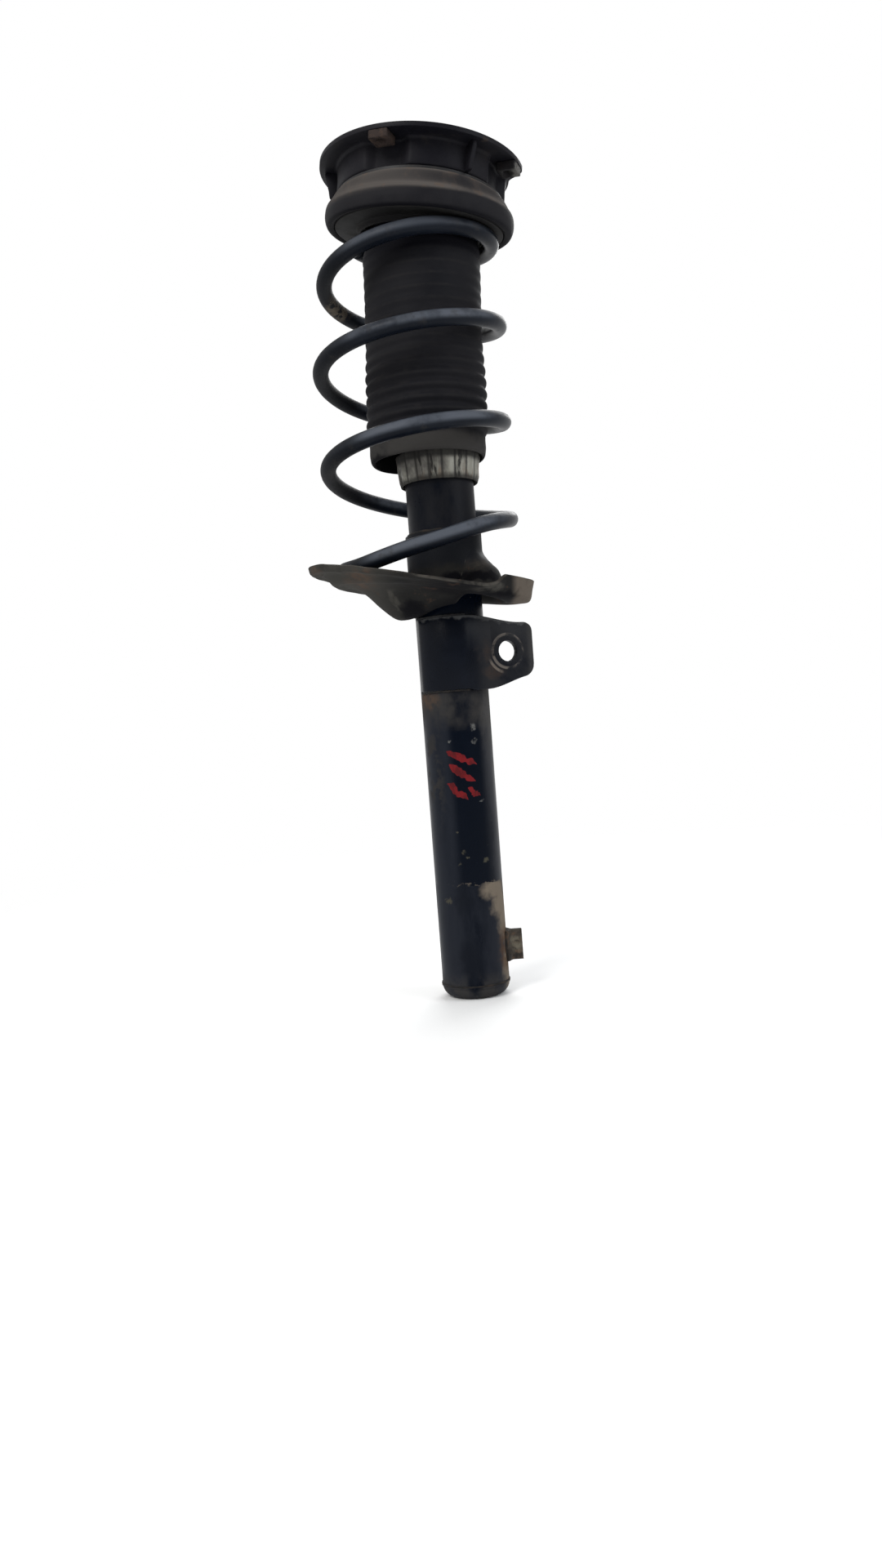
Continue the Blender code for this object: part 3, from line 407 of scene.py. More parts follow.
# A finish is a base (colour, roughness, metal), layers over it and bumps (scale, depth in metres). Each
# layer's mask is its amount times what it names: noise (scale, from, to, stretch along Z), spots (scale,
# size, share of cells), up and front (how the surface faces), edge, high (Z in mm), right (X in mm), crest
# (a piece's own attribute), zones (centre and half sizes in mm, with soft borders) and ring (centre, axis,
# radius, half width in mm).
finishValues = {
    "tubePaint": {
        "base": ((0.0010, 0.0026, 0.0066), 0.20, 0.0), "specular": 0.065,
        "layers": [
            {"colour": (0.0022, 0.0040, 0.0086), "rough": 0.32, "noise": (24.0, 0.40, 0.72, 0.5),
             "amount": 0.75},
            {"colour": (0.0115, 0.0115, 0.0135), "rough": 0.55, "noise": (30.0, 0.30, 0.60, 0.6),
             "high": (300.0, 345.0), "amount": 0.8},
            # painted reflection: lighter strips down the tube's left and right sides, below the bracket,
            # where they face the front
            {"colour": (0.0150, 0.0175, 0.0245), "rough": 0.38, "noise": (14.0, 0.20, 0.50, 0.3),
             "right": (-3.0, -11.0), "high": (232.0, 224.0), "front": (0.35, -0.25), "amount": 0.75},
            {"colour": (0.0360, 0.0370, 0.0430), "rough": 0.45, "noise": (18.0, 0.26, 0.56, 0.3),
             "right": (13.5, 22.5), "high": (232.0, 224.0), "front": (0.35, -0.25), "amount": 0.8},
            {"colour": (0.0330, 0.0310, 0.0295), "rough": 0.80, "noise": (40.0, 0.26, 0.60, 0.8),
             "soft": 0.35, "zones": [(0.0, 0.0, 214.0, 40.0, 40.0, 15.0)], "amount": 0.85},
            {"colour": (0.0700, 0.0470, 0.0340), "rough": 0.88, "noise": (110.0, 0.36, 0.60, 1.0),
             "soft": 0.5, "zones": [(-20.5, -14.0, 221.0, 10.0, 12.0, 6.0)], "amount": 0.75},
            {"colour": (0.0560, 0.0540, 0.0530), "rough": 0.80, "noise": (46.0, 0.30, 0.60, 0.7),
             "soft": 0.5, "zones": [(24.0, -8.0, 202.0, 8.0, 16.0, 26.0)], "amount": 0.8},
            {"colour": (0.0280, 0.0260, 0.0250), "rough": 0.80, "noise": (90.0, 0.46, 0.60, 1.0),
             "soft": 0.5, "zones": [(-19.5, -16.0, 168.0, 7.0, 10.0, 34.0)], "amount": 0.75},
            {"colour": (0.0130, 0.0150, 0.0210), "rough": 0.45, "noise": (40.0, 0.36, 0.62, 0.3),
             "high": (85.6, 84.6), "amount": 0.8},
            {"colour": (0.0045, 0.0060, 0.0100), "rough": 0.35, "noise": (30.0, 0.20, 0.50, 0.5),
             "soft": 0.5,
             "zones": [(-5.0, -24.0, 74.0, 6.0, 8.0, 11.0), (-3.0, -25.0, 30.0, 8.0, 9.0, 14.0)],
             "amount": 0.8},
            {"colour": (0.1560, 0.1290, 0.1000), "rough": 0.88, "noise": (55.0, 0.14, 0.44, 0.7),
             "soft": 0.40,
             "zones": [(18.0, -17.0, 80.0, 10.5, 14.0, 7.0), (22.0, -13.0, 69.0, 7.5, 13.0, 11.0),
                       (25.0, -9.0, 54.0, 6.0, 12.0, 15.0), (25.5, -7.0, 20.0, 5.5, 12.0, 18.0)],
             "high": (85.8, 85.0), "amount": 0.92},
            {"colour": (0.1000, 0.0860, 0.0700), "rough": 0.85, "noise": (300.0, 0.46, 0.58, 1.0),
             "soft": 0.6, "zones": [(8.0, -20.0, 85.4, 17.0, 30.0, 1.1)], "amount": 0.8},
            {"colour": (0.0380, 0.0360, 0.0350), "rough": 0.85, "noise": (64.0, 0.38, 0.60, 0.7),
             "high": (24.0, 6.0), "amount": 0.8},
            {"colour": (0.0750, 0.0440, 0.0270), "rough": 0.90, "noise": (120.0, 0.36, 0.56, 1.0),
             "soft": 0.5, "zones": [(24.5, -6.0, 35.0, 8.0, 14.0, 16.0)], "amount": 0.85},
            {"colour": (0.1250, 0.1250, 0.1200), "rough": 0.75, "noise": (420.0, 0.36, 0.56, 1.0),
             "soft": 0.5,
             "zones": [(10.7, -22.6, 199.9, 1.9, 3.0, 2.4), (9.9, -23.0, 188.8, 1.8, 3.0, 1.4),
                       (-7.7, -23.8, 190.1, 1.1, 3.0, 0.9), (13.2, -21.2, 145.7, 1.5, 3.0, 0.7)],
             "amount": 0.75},
            {"colour": (0.0620, 0.0580, 0.0420), "rough": 0.80, "noise": (420.0, 0.34, 0.54, 1.0),
             "soft": 0.5,
             "zones": [(-7.0, -24.0, 124.5, 1.3, 3.0, 0.7), (-2.2, -24.9, 108.4, 1.5, 3.0, 1.8),
                       (0.4, -25.0, 104.2, 0.8, 3.0, 0.7), (12.5, -21.7, 102.4, 1.8, 4.0, 1.3),
                       (-6.1, -24.2, 99.7, 1.0, 3.0, 0.7), (-16.4, -18.9, 73.7, 2.6, 4.0, 2.2)],
             "amount": 0.75},
            {"colour": (0.0600, 0.0560, 0.0480), "rough": 0.80, "spots": (190.0, 0.14, 0.04),
             "amount": 0.5},
        ],
        "bumps": [(1100.0, 0.00002), (90.0, 0.00005)]},
    "redDab": {
        "base": ((0.1450, 0.0075, 0.0100), 0.50, 0.0), "specular": 0.10,
        "layers": [{"colour": (0.0640, 0.0055, 0.0075), "rough": 0.60, "noise": (180.0, 0.40, 0.62, 0.5),
                    "amount": 0.9}],
        "bumps": [(700.0, 0.00008)]},
    "dusty_paint": {
        "base": ((0.0085, 0.0086, 0.0088), 0.60, 0.0), "specular": 0.05,
        "layers": [
            {"colour": (0.0190, 0.0182, 0.0170), "rough": 0.85, "noise": (30.0, 0.30, 0.62, 1.0),
             "amount": 0.8},
            {"colour": (0.0480, 0.0460, 0.0415), "rough": 0.88, "noise": (22.0, 0.18, 0.50, 1.0),
             "right": (-28.0, -58.0), "amount": 0.85},
            {"colour": (0.0520, 0.0450, 0.0380), "rough": 0.90, "noise": (60.0, 0.34, 0.62, 1.0),
             "up": (0.25, 0.9), "amount": 0.75},
            # painted shade: the seat's underside, where it faces down, darkened from the middle to the right
            {"colour": (0.0045, 0.0045, 0.0060), "rough": 0.80, "up": (-0.82, -0.97), "right": (-30.0, 0.0),
             "amount": 0.75},
            {"colour": (0.1050, 0.0880, 0.0720), "rough": 0.90, "noise": (44.0, 0.16, 0.46, 1.0),
             "right": (43.0, 49.0), "amount": 0.92},
            {"colour": (0.0620, 0.0370, 0.0260), "rough": 0.90, "noise": (95.0, 0.58, 0.70, 1.0),
             "amount": 0.4},
            {"colour": (0.0850, 0.0540, 0.0390), "rough": 0.90, "noise": (70.0, 0.36, 0.60, 1.0),
             "soft": 0.6,
             "zones": [(-60.0, -45.0, 309.0, 12.0, 30.0, 6.0), (-94.0, -28.0, 317.5, 5.0, 14.0, 4.0)],
             "amount": 0.65},
            {"colour": (0.0075, 0.0085, 0.0112), "rough": 0.45, "noise": (30.0, 0.10, 0.40, 1.0),
             "soft": 0.12, "zones": [(0.0, 0.0, 334.0, 42.0, 42.0, 24.0)], "amount": 0.92},
            # painted shade: near-black in the hollow under the wing, in the gap between collar and rim and
            # under the front fold
            {"colour": (0.0025, 0.0025, 0.0040), "rough": 0.80, "soft": 0.35,
             "zones": [(34.0, -43.0, 288.8, 14.0, 15.0, 5.0), (7.0, -27.0, 308.0, 11.0, 6.0, 3.2),
                       (21.0, -34.0, 305.8, 16.0, 10.0, 3.8), (33.0, -25.0, 306.2, 8.0, 9.0, 3.8),
                       (-25.5, -30.0, 285.0, 9.5, 18.0, 8.0)], "amount": 0.94},
            # painted highlight: lighter strips along the funnel's left ridge and under the wing's front
            {"colour": (0.0600, 0.0570, 0.0500), "rough": 0.85, "noise": (90.0, 0.24, 0.52, 1.0),
             "soft": 0.6,
             "zones": [(-40.0, -38.5, 297.0, 2.6, 9.0, 5.0), (-37.0, -34.0, 289.0, 2.4, 9.0, 5.0),
                       (31.0, -64.0, 294.0, 13.0, 8.0, 2.2)], "amount": 0.7},
            # painted highlight along the seat's sharp edges and rim
            {"colour": (0.0700, 0.0650, 0.0570), "rough": 0.85, "noise": (120.0, 0.36, 0.58, 1.0),
             "edge": (0.53, 0.60), "amount": 0.5},
        ],
        "bumps": [(650.0, 0.00007), (110.0, 0.00018)]},
    "rusty_steel": {
        "base": ((0.0450, 0.0380, 0.0310), 0.80, 0.0), "specular": 0.14,
        "layers": [
            {"colour": (0.0150, 0.0135, 0.0125), "rough": 0.75, "noise": (150.0, 0.42, 0.60, 1.0),
             "amount": 0.85},
            {"colour": (0.0900, 0.0520, 0.0320), "rough": 0.90, "noise": (220.0, 0.50, 0.66, 1.0),
             "amount": 0.7},
            {"colour": (0.1400, 0.1250, 0.0950), "rough": 0.75, "noise": (110.0, 0.30, 0.55, 1.0),
             "soft": 0.5, "zones": [(32.0, -3.0, 37.0, 5.5, 5.0, 6.5)], "amount": 0.8},
        ],
        "bumps": [(1200.0, 0.00010), (300.0, 0.00016)]},
    "nutRustAndPaintedLight": {
        "base": ((0.0300, 0.0215, 0.0190), 0.80, 0.0), "specular": 0.12,
        "layers": [
            {"colour": (0.0130, 0.0110, 0.0105), "rough": 0.75, "noise": (150.0, 0.45, 0.62, 1.0),
             "amount": 0.8},
            {"colour": (0.0560, 0.0370, 0.0280), "rough": 0.90, "noise": (210.0, 0.48, 0.64, 1.0),
             "amount": 0.6},
            # painted shade: the nut on the right darkened, as it lies in shadow
            {"colour": (0.0090, 0.0088, 0.0100), "rough": 0.70, "right": (38.0, 46.0), "amount": 0.9},
            # painted highlight: a light glint on that nut's outer face
            {"colour": (0.1300, 0.1250, 0.1150), "rough": 0.70, "soft": 0.5,
             "zones": [(69.0, -27.0, 586.0, 4.0, 6.0, 4.0)], "amount": 0.8},
        ],
        "bumps": [(1200.0, 0.00010), (300.0, 0.00014)]},
    "zinc_cap": {
        "base": ((0.2460, 0.2400, 0.2050), 0.42, 0.35), "specular": 0.4,
        "layers": [
            {"colour": (0.0800, 0.0740, 0.0680), "rough": 0.60, "metal": 0.2,
             "noise": (34.0, 0.46, 0.58, 0.6), "amount": 0.85},
            {"colour": (0.3400, 0.3350, 0.2900), "rough": 0.36, "metal": 0.5,
             "noise": (70.0, 0.55, 0.66, 0.35), "amount": 0.8},
            {"colour": (0.1500, 0.1150, 0.0850), "rough": 0.70, "metal": 0.1,
             "noise": (120.0, 0.52, 0.62, 0.3), "amount": 0.7},
            {"colour": (0.0110, 0.0100, 0.0090), "rough": 0.90, "metal": 0.0,
             "noise": (150.0, 0.56, 0.62, 0.10), "amount": 0.92},
            # painted shade in the grooves between the flutes
            {"colour": (0.0120, 0.0110, 0.0100), "rough": 0.90, "metal": 0.0, "crest": (0.30, 0.04),
             "amount": 0.75},
            {"colour": (0.0130, 0.0120, 0.0105), "rough": 0.90, "metal": 0.0, "high": (382.5, 378.5),
             "amount": 0.85},
            # painted shadow of the boot's lip across the cap's top
            {"colour": (0.0090, 0.0085, 0.0080), "rough": 0.90, "metal": 0.0, "high": (390.5, 394.5),
             "amount": 0.88},
        ],
        "bumps": [(600.0, 0.00012), (160.0, 0.00025)]},
    "black_rubber": {
        "base": ((0.0110, 0.0108, 0.0112), 0.66, 0.0), "specular": 0.12,
        "layers": [
            {"colour": (0.0210, 0.0200, 0.0190), "rough": 0.86, "noise": (42.0, 0.40, 0.70, 1.0),
             "amount": 0.75},
            {"colour": (0.0400, 0.0350, 0.0310), "rough": 0.90, "noise": (90.0, 0.45, 0.68, 1.0),
             "up": (0.05, 0.8), "amount": 0.7},
        ],
        "bumps": [(1300.0, 0.00005), (200.0, 0.00010)]},
    "bootRubber": {
        "base": ((0.0060, 0.0062, 0.0082), 0.58, 0.0), "specular": 0.07,
        "layers": [
            {"colour": (0.0125, 0.0122, 0.0140), "rough": 0.80, "noise": (18.0, 0.30, 0.64, 1.2),
             "amount": 0.8},
            {"colour": (0.0180, 0.0172, 0.0175), "rough": 0.84, "crest": (0.80, 1.00),
             "noise": (60.0, 0.35, 0.62, 1.0), "amount": 0.45},
            {"colour": (0.0250, 0.0230, 0.0220), "rough": 0.90, "noise": (70.0, 0.45, 0.66, 1.0),
             "up": (0.10, 0.8), "amount": 0.4},
            {"colour": (0.0410, 0.0390, 0.0370), "rough": 0.88, "noise": (24.0, 0.22, 0.50, 1.0),
             "high": (411.0, 405.0), "amount": 0.85},
            # painted shadow under the top coil, on the boot's upper end
            {"colour": (0.0028, 0.0028, 0.0048), "rough": 0.70, "high": (526.0, 537.0), "amount": 0.9},
            # painted shade inside the boot's mouth, round its lower lip and on its left
            {"colour": (0.0020, 0.0020, 0.0032), "rough": 0.90, "high": (414.0, 408.0),
             "ring": ((-6.3, 0.0, 400.0), (0.0, 0.0, 1.0), 38.0, 2.0), "amount": 0.92},
            {"colour": (0.0030, 0.0030, 0.0044), "rough": 0.80, "soft": 0.35,
             "zones": [(-43.0, -14.0, 393.0, 14.0, 20.0, 5.5)], "amount": 0.85},
        ],
        "bumps": [(1300.0, 0.00005), (160.0, 0.00010)]},
    "springPaint": {
        "base": ((0.0044, 0.0060, 0.0100), 0.32, 0.0), "specular": 0.08,
        "layers": [
            {"colour": (0.0080, 0.0105, 0.0160), "rough": 0.40, "noise": (30.0, 0.38, 0.66, 1.0),
             "amount": 0.75},
            # dust, with a painted bluish sheen, on the upper sides of the wire
            {"colour": (0.0250, 0.0285, 0.0360), "rough": 0.60, "noise": (30.0, 0.26, 0.62, 1.0),
             "up": (0.25, 0.95), "amount": 0.7},
            # painted highlight on the front of the coils, where they face up and forward
            {"colour": (0.0760, 0.0850, 0.1030), "rough": 0.50, "noise": (22.0, 0.28, 0.56, 1.0),
             "up": (-0.55, 0.10), "front": (-0.40, -0.80), "high": (568.0, 518.0), "amount": 0.90},
            # painted shade on the coil's left bends
            {"colour": (0.0018, 0.0026, 0.0046), "rough": 0.60, "right": (-46.0, -64.0), "amount": 0.80},
            {"colour": (0.0280, 0.0260, 0.0245), "rough": 0.80, "noise": (90.0, 0.56, 0.72, 1.0),
             "amount": 0.4},
            {"colour": (0.1300, 0.1100, 0.0850), "rough": 0.82, "noise": (180.0, 0.42, 0.56, 1.0),
             "soft": 0.5, "zones": [(-64.0, 24.0, 519.0, 9.0, 17.0, 6.0)], "amount": 0.85},
            {"colour": (0.1200, 0.0980, 0.0720), "rough": 0.80, "spots": (120.0, 0.15, 0.025),
             "amount": 0.7},
        ],
        "bumps": [(900.0, 0.00005), (200.0, 0.00006)]},
    "mountPaint": {
        "base": ((0.0056, 0.0055, 0.0080), 0.46, 0.0), "specular": 0.08,
        "layers": [
            {"colour": (0.0115, 0.0110, 0.0135), "rough": 0.62, "noise": (20.0, 0.34, 0.66, 1.0),
             "amount": 0.8},
            {"colour": (0.0280, 0.0245, 0.0220), "rough": 0.85, "noise": (60.0, 0.56, 0.76, 1.0),
             "amount": 0.35},
            {"colour": (0.0480, 0.0420, 0.0360), "rough": 0.88, "noise": (60.0, 0.40, 0.66, 1.0),
             "up": (0.20, 0.95), "amount": 0.65},
            {"colour": (0.0500, 0.0380, 0.0290), "rough": 0.88, "noise": (110.0, 0.56, 0.66, 1.0),
             "edge": (0.53, 0.60), "amount": 0.4},
            # painted shade in the cup's pocket by the front-left nut
            {"colour": (0.0026, 0.0026, 0.0042), "rough": 0.60, "soft": 0.4,
             "zones": [(-27.0, -66.0, 585.0, 7.0, 12.0, 11.0)], "amount": 0.8},
        ],
        "bumps": [(800.0, 0.00006), (110.0, 0.00010)]},
    "steel": {
        "base": ((0.2300, 0.2250, 0.2150), 0.40, 0.9), "specular": 0.4,
        "layers": [
            {"colour": (0.1050, 0.0850, 0.0650), "rough": 0.62, "metal": 0.3,
             "noise": (80.0, 0.42, 0.62, 1.0), "amount": 0.8},
            {"colour": (0.0800, 0.0480, 0.0290), "rough": 0.85, "metal": 0.0,
             "noise": (140.0, 0.54, 0.66, 1.0), "amount": 0.75},
        ],
        "bumps": [(900.0, 0.00004)]},
    "hard_chrome": {
        "base": ((0.3300, 0.3300, 0.3400), 0.22, 1.0), "specular": 0.5,
        "layers": [{"colour": (0.2200, 0.1900, 0.1500), "rough": 0.42, "metal": 0.6,
                    "noise": (80.0, 0.50, 0.68, 0.4), "amount": 0.7}],
        "bumps": [(2200.0, 0.00001)]},
    "bronze": {
        "base": ((0.4200, 0.2700, 0.1200), 0.38, 1.0), "specular": 0.5,
        "layers": [{"colour": (0.1700, 0.1000, 0.0500), "rough": 0.60, "noise": (200.0, 0.45, 0.65, 1.0),
                    "amount": 0.6}],
        "bumps": [(1500.0, 0.00003)]},
    "bump_foam": {
        "base": ((0.5200, 0.4400, 0.2500), 0.86, 0.0), "specular": 0.2,
        "layers": [{"colour": (0.2600, 0.2000, 0.1050), "rough": 0.90, "noise": (90.0, 0.45, 0.68, 1.0),
                    "amount": 0.7}],
        "bumps": [(1600.0, 0.00020)]},
    "black_plastic": {
        "base": ((0.0140, 0.0140, 0.0150), 0.46, 0.0), "specular": 0.2,
        "layers": [{"colour": (0.0300, 0.0280, 0.0260), "rough": 0.80, "noise": (70.0, 0.45, 0.70, 1.0),
                    "amount": 0.6}],
        "bumps": [(1400.0, 0.00004)]},
    "weldMetal": {
        "base": ((0.0100, 0.0098, 0.0100), 0.60, 0.0), "specular": 0.14,
        "layers": [
            {"colour": (0.0350, 0.0270, 0.0220), "rough": 0.88, "noise": (120.0, 0.46, 0.64, 1.0),
             "amount": 0.7},
            {"colour": (0.0420, 0.0380, 0.0340), "rough": 0.85, "noise": (90.0, 0.50, 0.68, 1.0),
             "up": (0.10, 0.8), "amount": 0.6},
            # painted highlight along the front of the bracket's upper weld
            {"colour": (0.0520, 0.0530, 0.0550), "rough": 0.75, "noise": (60.0, 0.20, 0.50, 1.0),
             "soft": 0.3, "zones": [(0.0, -20.0, 280.4, 44.0, 24.0, 3.0)], "amount": 0.8},
        ],
        "bumps": [(900.0, 0.00012)]},
    "bracketPaint": {
        "base": ((0.0022, 0.0034, 0.0068), 0.26, 0.0), "specular": 0.09,
        "layers": [
            {"colour": (0.0048, 0.0066, 0.0120), "rough": 0.38, "noise": (26.0, 0.38, 0.68, 0.8),
             "amount": 0.75},
            {"colour": (0.0180, 0.0182, 0.0200), "rough": 0.50, "noise": (30.0, 0.26, 0.56, 1.0),
             "right": (14.0, 26.0), "amount": 0.75},
            # painted highlight along the bracket's top edge
            {"colour": (0.0700, 0.0710, 0.0730), "rough": 0.65, "noise": (60.0, 0.12, 0.42, 1.0),
             "soft": 0.4,
             "zones": [(-2.0, -26.0, 280.0, 30.0, 14.0, 2.2), (22.0, -18.0, 279.2, 11.0, 14.0, 1.9),
                       (33.0, -13.0, 276.6, 10.0, 14.0, 1.9), (46.0, -7.0, 274.2, 13.0, 14.0, 1.7)],
             "amount": 0.8},
            {"colour": (0.0500, 0.0500, 0.0510), "rough": 0.70, "noise": (60.0, 0.24, 0.56, 1.0),
             "up": (0.30, 0.85), "amount": 0.8},
            {"colour": (0.0360, 0.0260, 0.0215), "rough": 0.85, "noise": (75.0, 0.34, 0.62, 1.0),
             "soft": 0.6,
             "zones": [(23.0, -24.0, 253.0, 5.0, 12.0, 8.0), (30.0, -22.0, 238.5, 8.0, 12.0, 4.0)],
             "amount": 0.65},
            {"colour": (0.1250, 0.1100, 0.0980), "rough": 0.60, "noise": (60.0, 0.44, 0.58, 1.0),
             "ring": ((38.5, -9.6, 252.7), (0.4067, -0.9135, 0.0), 12.3, 0.9), "amount": 0.85},
            {"colour": (0.1350, 0.1150, 0.0980), "rough": 0.60, "noise": (120.0, 0.30, 0.52, 1.0),
             "soft": 0.5, "ring": ((38.5, -9.6, 252.7), (0.4067, -0.9135, 0.0), 15.8, 1.0),
             "zones": [(29.5, -18.0, 241.0, 6.0, 10.0, 6.0)], "amount": 0.8},
            {"colour": (0.0500, 0.0480, 0.0470), "rough": 0.75, "noise": (50.0, 0.30, 0.56, 1.0),
             "right": (54.0, 58.0), "amount": 0.6},
            {"colour": (0.1000, 0.0950, 0.0850), "rough": 0.75, "spots": (200.0, 0.13, 0.02),
             "amount": 0.6},
        ],
        "bumps": [(1000.0, 0.00003), (110.0, 0.00006)]},
    "platePaint": {
        "base": ((0.0080, 0.0079, 0.0100), 0.52, 0.0), "specular": 0.06,
        "layers": [
            {"colour": (0.0150, 0.0146, 0.0165), "rough": 0.70, "noise": (20.0, 0.30, 0.62, 1.0),
             "amount": 0.8},
            {"colour": (0.0860, 0.0770, 0.0710), "rough": 0.90, "noise": (18.0, 0.16, 0.50, 1.0),
             "up": (0.08, 0.50), "amount": 0.9},
            {"colour": (0.0950, 0.0670, 0.0500), "rough": 0.90, "noise": (90.0, 0.54, 0.66, 1.0),
             "up": (0.10, 0.5), "amount": 0.45},
            # painted shade on the plate's underside, where it faces down
            {"colour": (0.0036, 0.0036, 0.0054), "rough": 0.70, "up": (-0.35, -0.85), "amount": 0.9},
        ],
        "bumps": [(800.0, 0.00006), (110.0, 0.00010)]},
}


# ragged borders: the noise's scale for zones and heights, and how far it moves each border, in metres
border = {"zoneScale": 150.0, "zoneDrift": 0.009, "heightScale": 120.0, "heightDrift": 0.004}


def makeFinish(name, values):
    material = bpy.data.materials.new(name)
    material.use_nodes = True
    tree = material.node_tree
    shader = tree.nodes["Principled BSDF"]
    shader.inputs["Specular IOR Level"].default_value = values["specular"]
    place = addNode(tree, "ShaderNodeTexCoord").outputs["Object"]
    split = addNode(tree, "ShaderNodeSeparateXYZ", Vector=place)
    surface = addNode(tree, "ShaderNodeNewGeometry")
    facing = addNode(tree, "ShaderNodeSeparateXYZ", Vector=surface.outputs["Normal"])
    if any("zones" in layer for layer in values["layers"]):
        # the place, shaken a little so that a zone's border isn't a plain curve
        shake = addNode(tree, "ShaderNodeTexNoise", Vector=place, Scale=border["zoneScale"], Detail=4.0)
        level = addNode(tree, "ShaderNodeVectorMath", {"operation": "SUBTRACT"}, i0=shake.outputs["Color"],
                        i1=(0.5, 0.5, 0.5))
        drift = addNode(tree, "ShaderNodeVectorMath", {"operation": "SCALE"}, i0=level.outputs[0],
                        Scale=border["zoneDrift"])
        ragged = addNode(tree, "ShaderNodeVectorMath", {"operation": "ADD"}, i0=place,
                         i1=drift.outputs[0]).outputs[0]

    def ranged(value, low, high):
        node = addNode(tree, "ShaderNodeMapRange", {"interpolation_type": "SMOOTHSTEP"}, Value=value)
        # a falling range is a rising one turned over
        node.inputs["From Min"].default_value = min(low, high)
        node.inputs["From Max"].default_value = max(low, high)
        node.inputs["To Min"].default_value = 0.0 if low < high else 1.0
        node.inputs["To Max"].default_value = 1.0 if low < high else 0.0
        return node.outputs["Result"]

    def stretched(stretch, offset):
        node = addNode(tree, "ShaderNodeMapping", Vector=place)
        node.inputs["Scale"].default_value = (1.0, 1.0, stretch)
        node.inputs["Location"].default_value = (offset, offset * 0.7, offset * 1.3)
        return node.outputs[0]

    def maskOf(layer, index):
        parts = []
        if "noise" in layer:
            scale, low, high, stretch = layer["noise"]
            cloud = addNode(tree, "ShaderNodeTexNoise", Vector=stretched(stretch, 0.37 * index),
                            Scale=scale, Detail=5.0, Roughness=0.62)
            parts.append(ranged(cloud.outputs["Fac"], low, high))
        if "spots" in layer:
            scale, size, share = layer["spots"]
            warp = addNode(tree, "ShaderNodeTexNoise", Vector=place, Scale=scale * 2.5, Detail=2.0)
            bent = addNode(tree, "ShaderNodeMix", {"data_type": "VECTOR"}, Factor=0.0045,
                           i4=stretched(1.0, 0.11 * index), i5=warp.outputs["Color"])
            cells = addNode(tree, "ShaderNodeTexVoronoi", Vector=bent.outputs[1], Scale=scale)
            spot = ranged(cells.outputs["Distance"], size, size * 0.7)
            pick = addNode(tree, "ShaderNodeSeparateColor", Color=cells.outputs["Color"])
            parts += [spot, ranged(pick.outputs[0], share + 0.02, share)]
        if "up" in layer:
            parts.append(ranged(facing.outputs[2], *layer["up"]))
        if "front" in layer:
            parts.append(ranged(facing.outputs[1], *layer["front"]))
        if "edge" in layer:
            parts.append(ranged(surface.outputs["Pointiness"], *layer["edge"]))
        if "high" in layer:
            wavy = addNode(tree, "ShaderNodeTexNoise", Vector=place, Scale=border["heightScale"], Detail=4.0)
            shaken = maths(tree, "MULTIPLY_ADD", wavy.outputs["Fac"], border["heightDrift"], split.outputs[2])
            low, high = (height * mm + border["heightDrift"] / 2.0 for height in layer["high"])
            parts.append(ranged(shaken, low, high))
        if "right" in layer:
            parts.append(ranged(split.outputs[0], layer["right"][0] * mm, layer["right"][1] * mm))
        if "crest" in layer:
            crest = addNode(tree, "ShaderNodeAttribute", {"attribute_name": "crest"})
            parts.append(ranged(crest.outputs["Fac"], *layer["crest"]))
        if "zones" in layer:
            nearest = None
            for x, y, z, wide, deep, tall in layer["zones"]:
                fitted = addNode(tree, "ShaderNodeMapping", Vector=ragged)
                fitted.inputs["Location"].default_value = (-x / wide, -y / deep, -z / tall)
                fitted.inputs["Scale"].default_value = (1000.0 / wide, 1000.0 / deep, 1000.0 / tall)
                reach = addNode(tree, "ShaderNodeVectorMath", {"operation": "LENGTH"},
                                i0=fitted.outputs[0]).outputs[1]
                nearest = reach if nearest is None else maths(tree, "MINIMUM", nearest, reach)
            parts.append(ranged(nearest, 1.0 + layer["soft"], 1.0 - layer["soft"]))
        if "ring" in layer:
            centre, axis, radius, half = layer["ring"]
            fromCentre = addNode(tree, "ShaderNodeVectorMath", {"operation": "SUBTRACT"}, i0=place,
                                 i1=tuple(value * mm for value in centre))
            across = addNode(tree, "ShaderNodeVectorMath", {"operation": "CROSS_PRODUCT"},
                             i0=fromCentre.outputs[0], i1=axis)
            reach = addNode(tree, "ShaderNodeVectorMath", {"operation": "LENGTH"}, i0=across.outputs[0])
            away = maths(tree, "ABSOLUTE", maths(tree, "SUBTRACT", reach.outputs[1], radius * mm))
            parts.append(ranged(away, half * 1.3 * mm, half * 0.7 * mm))
        mask = layer["amount"]
        for part in parts:
            mask = maths(tree, "MULTIPLY", part, mask)
        return mask

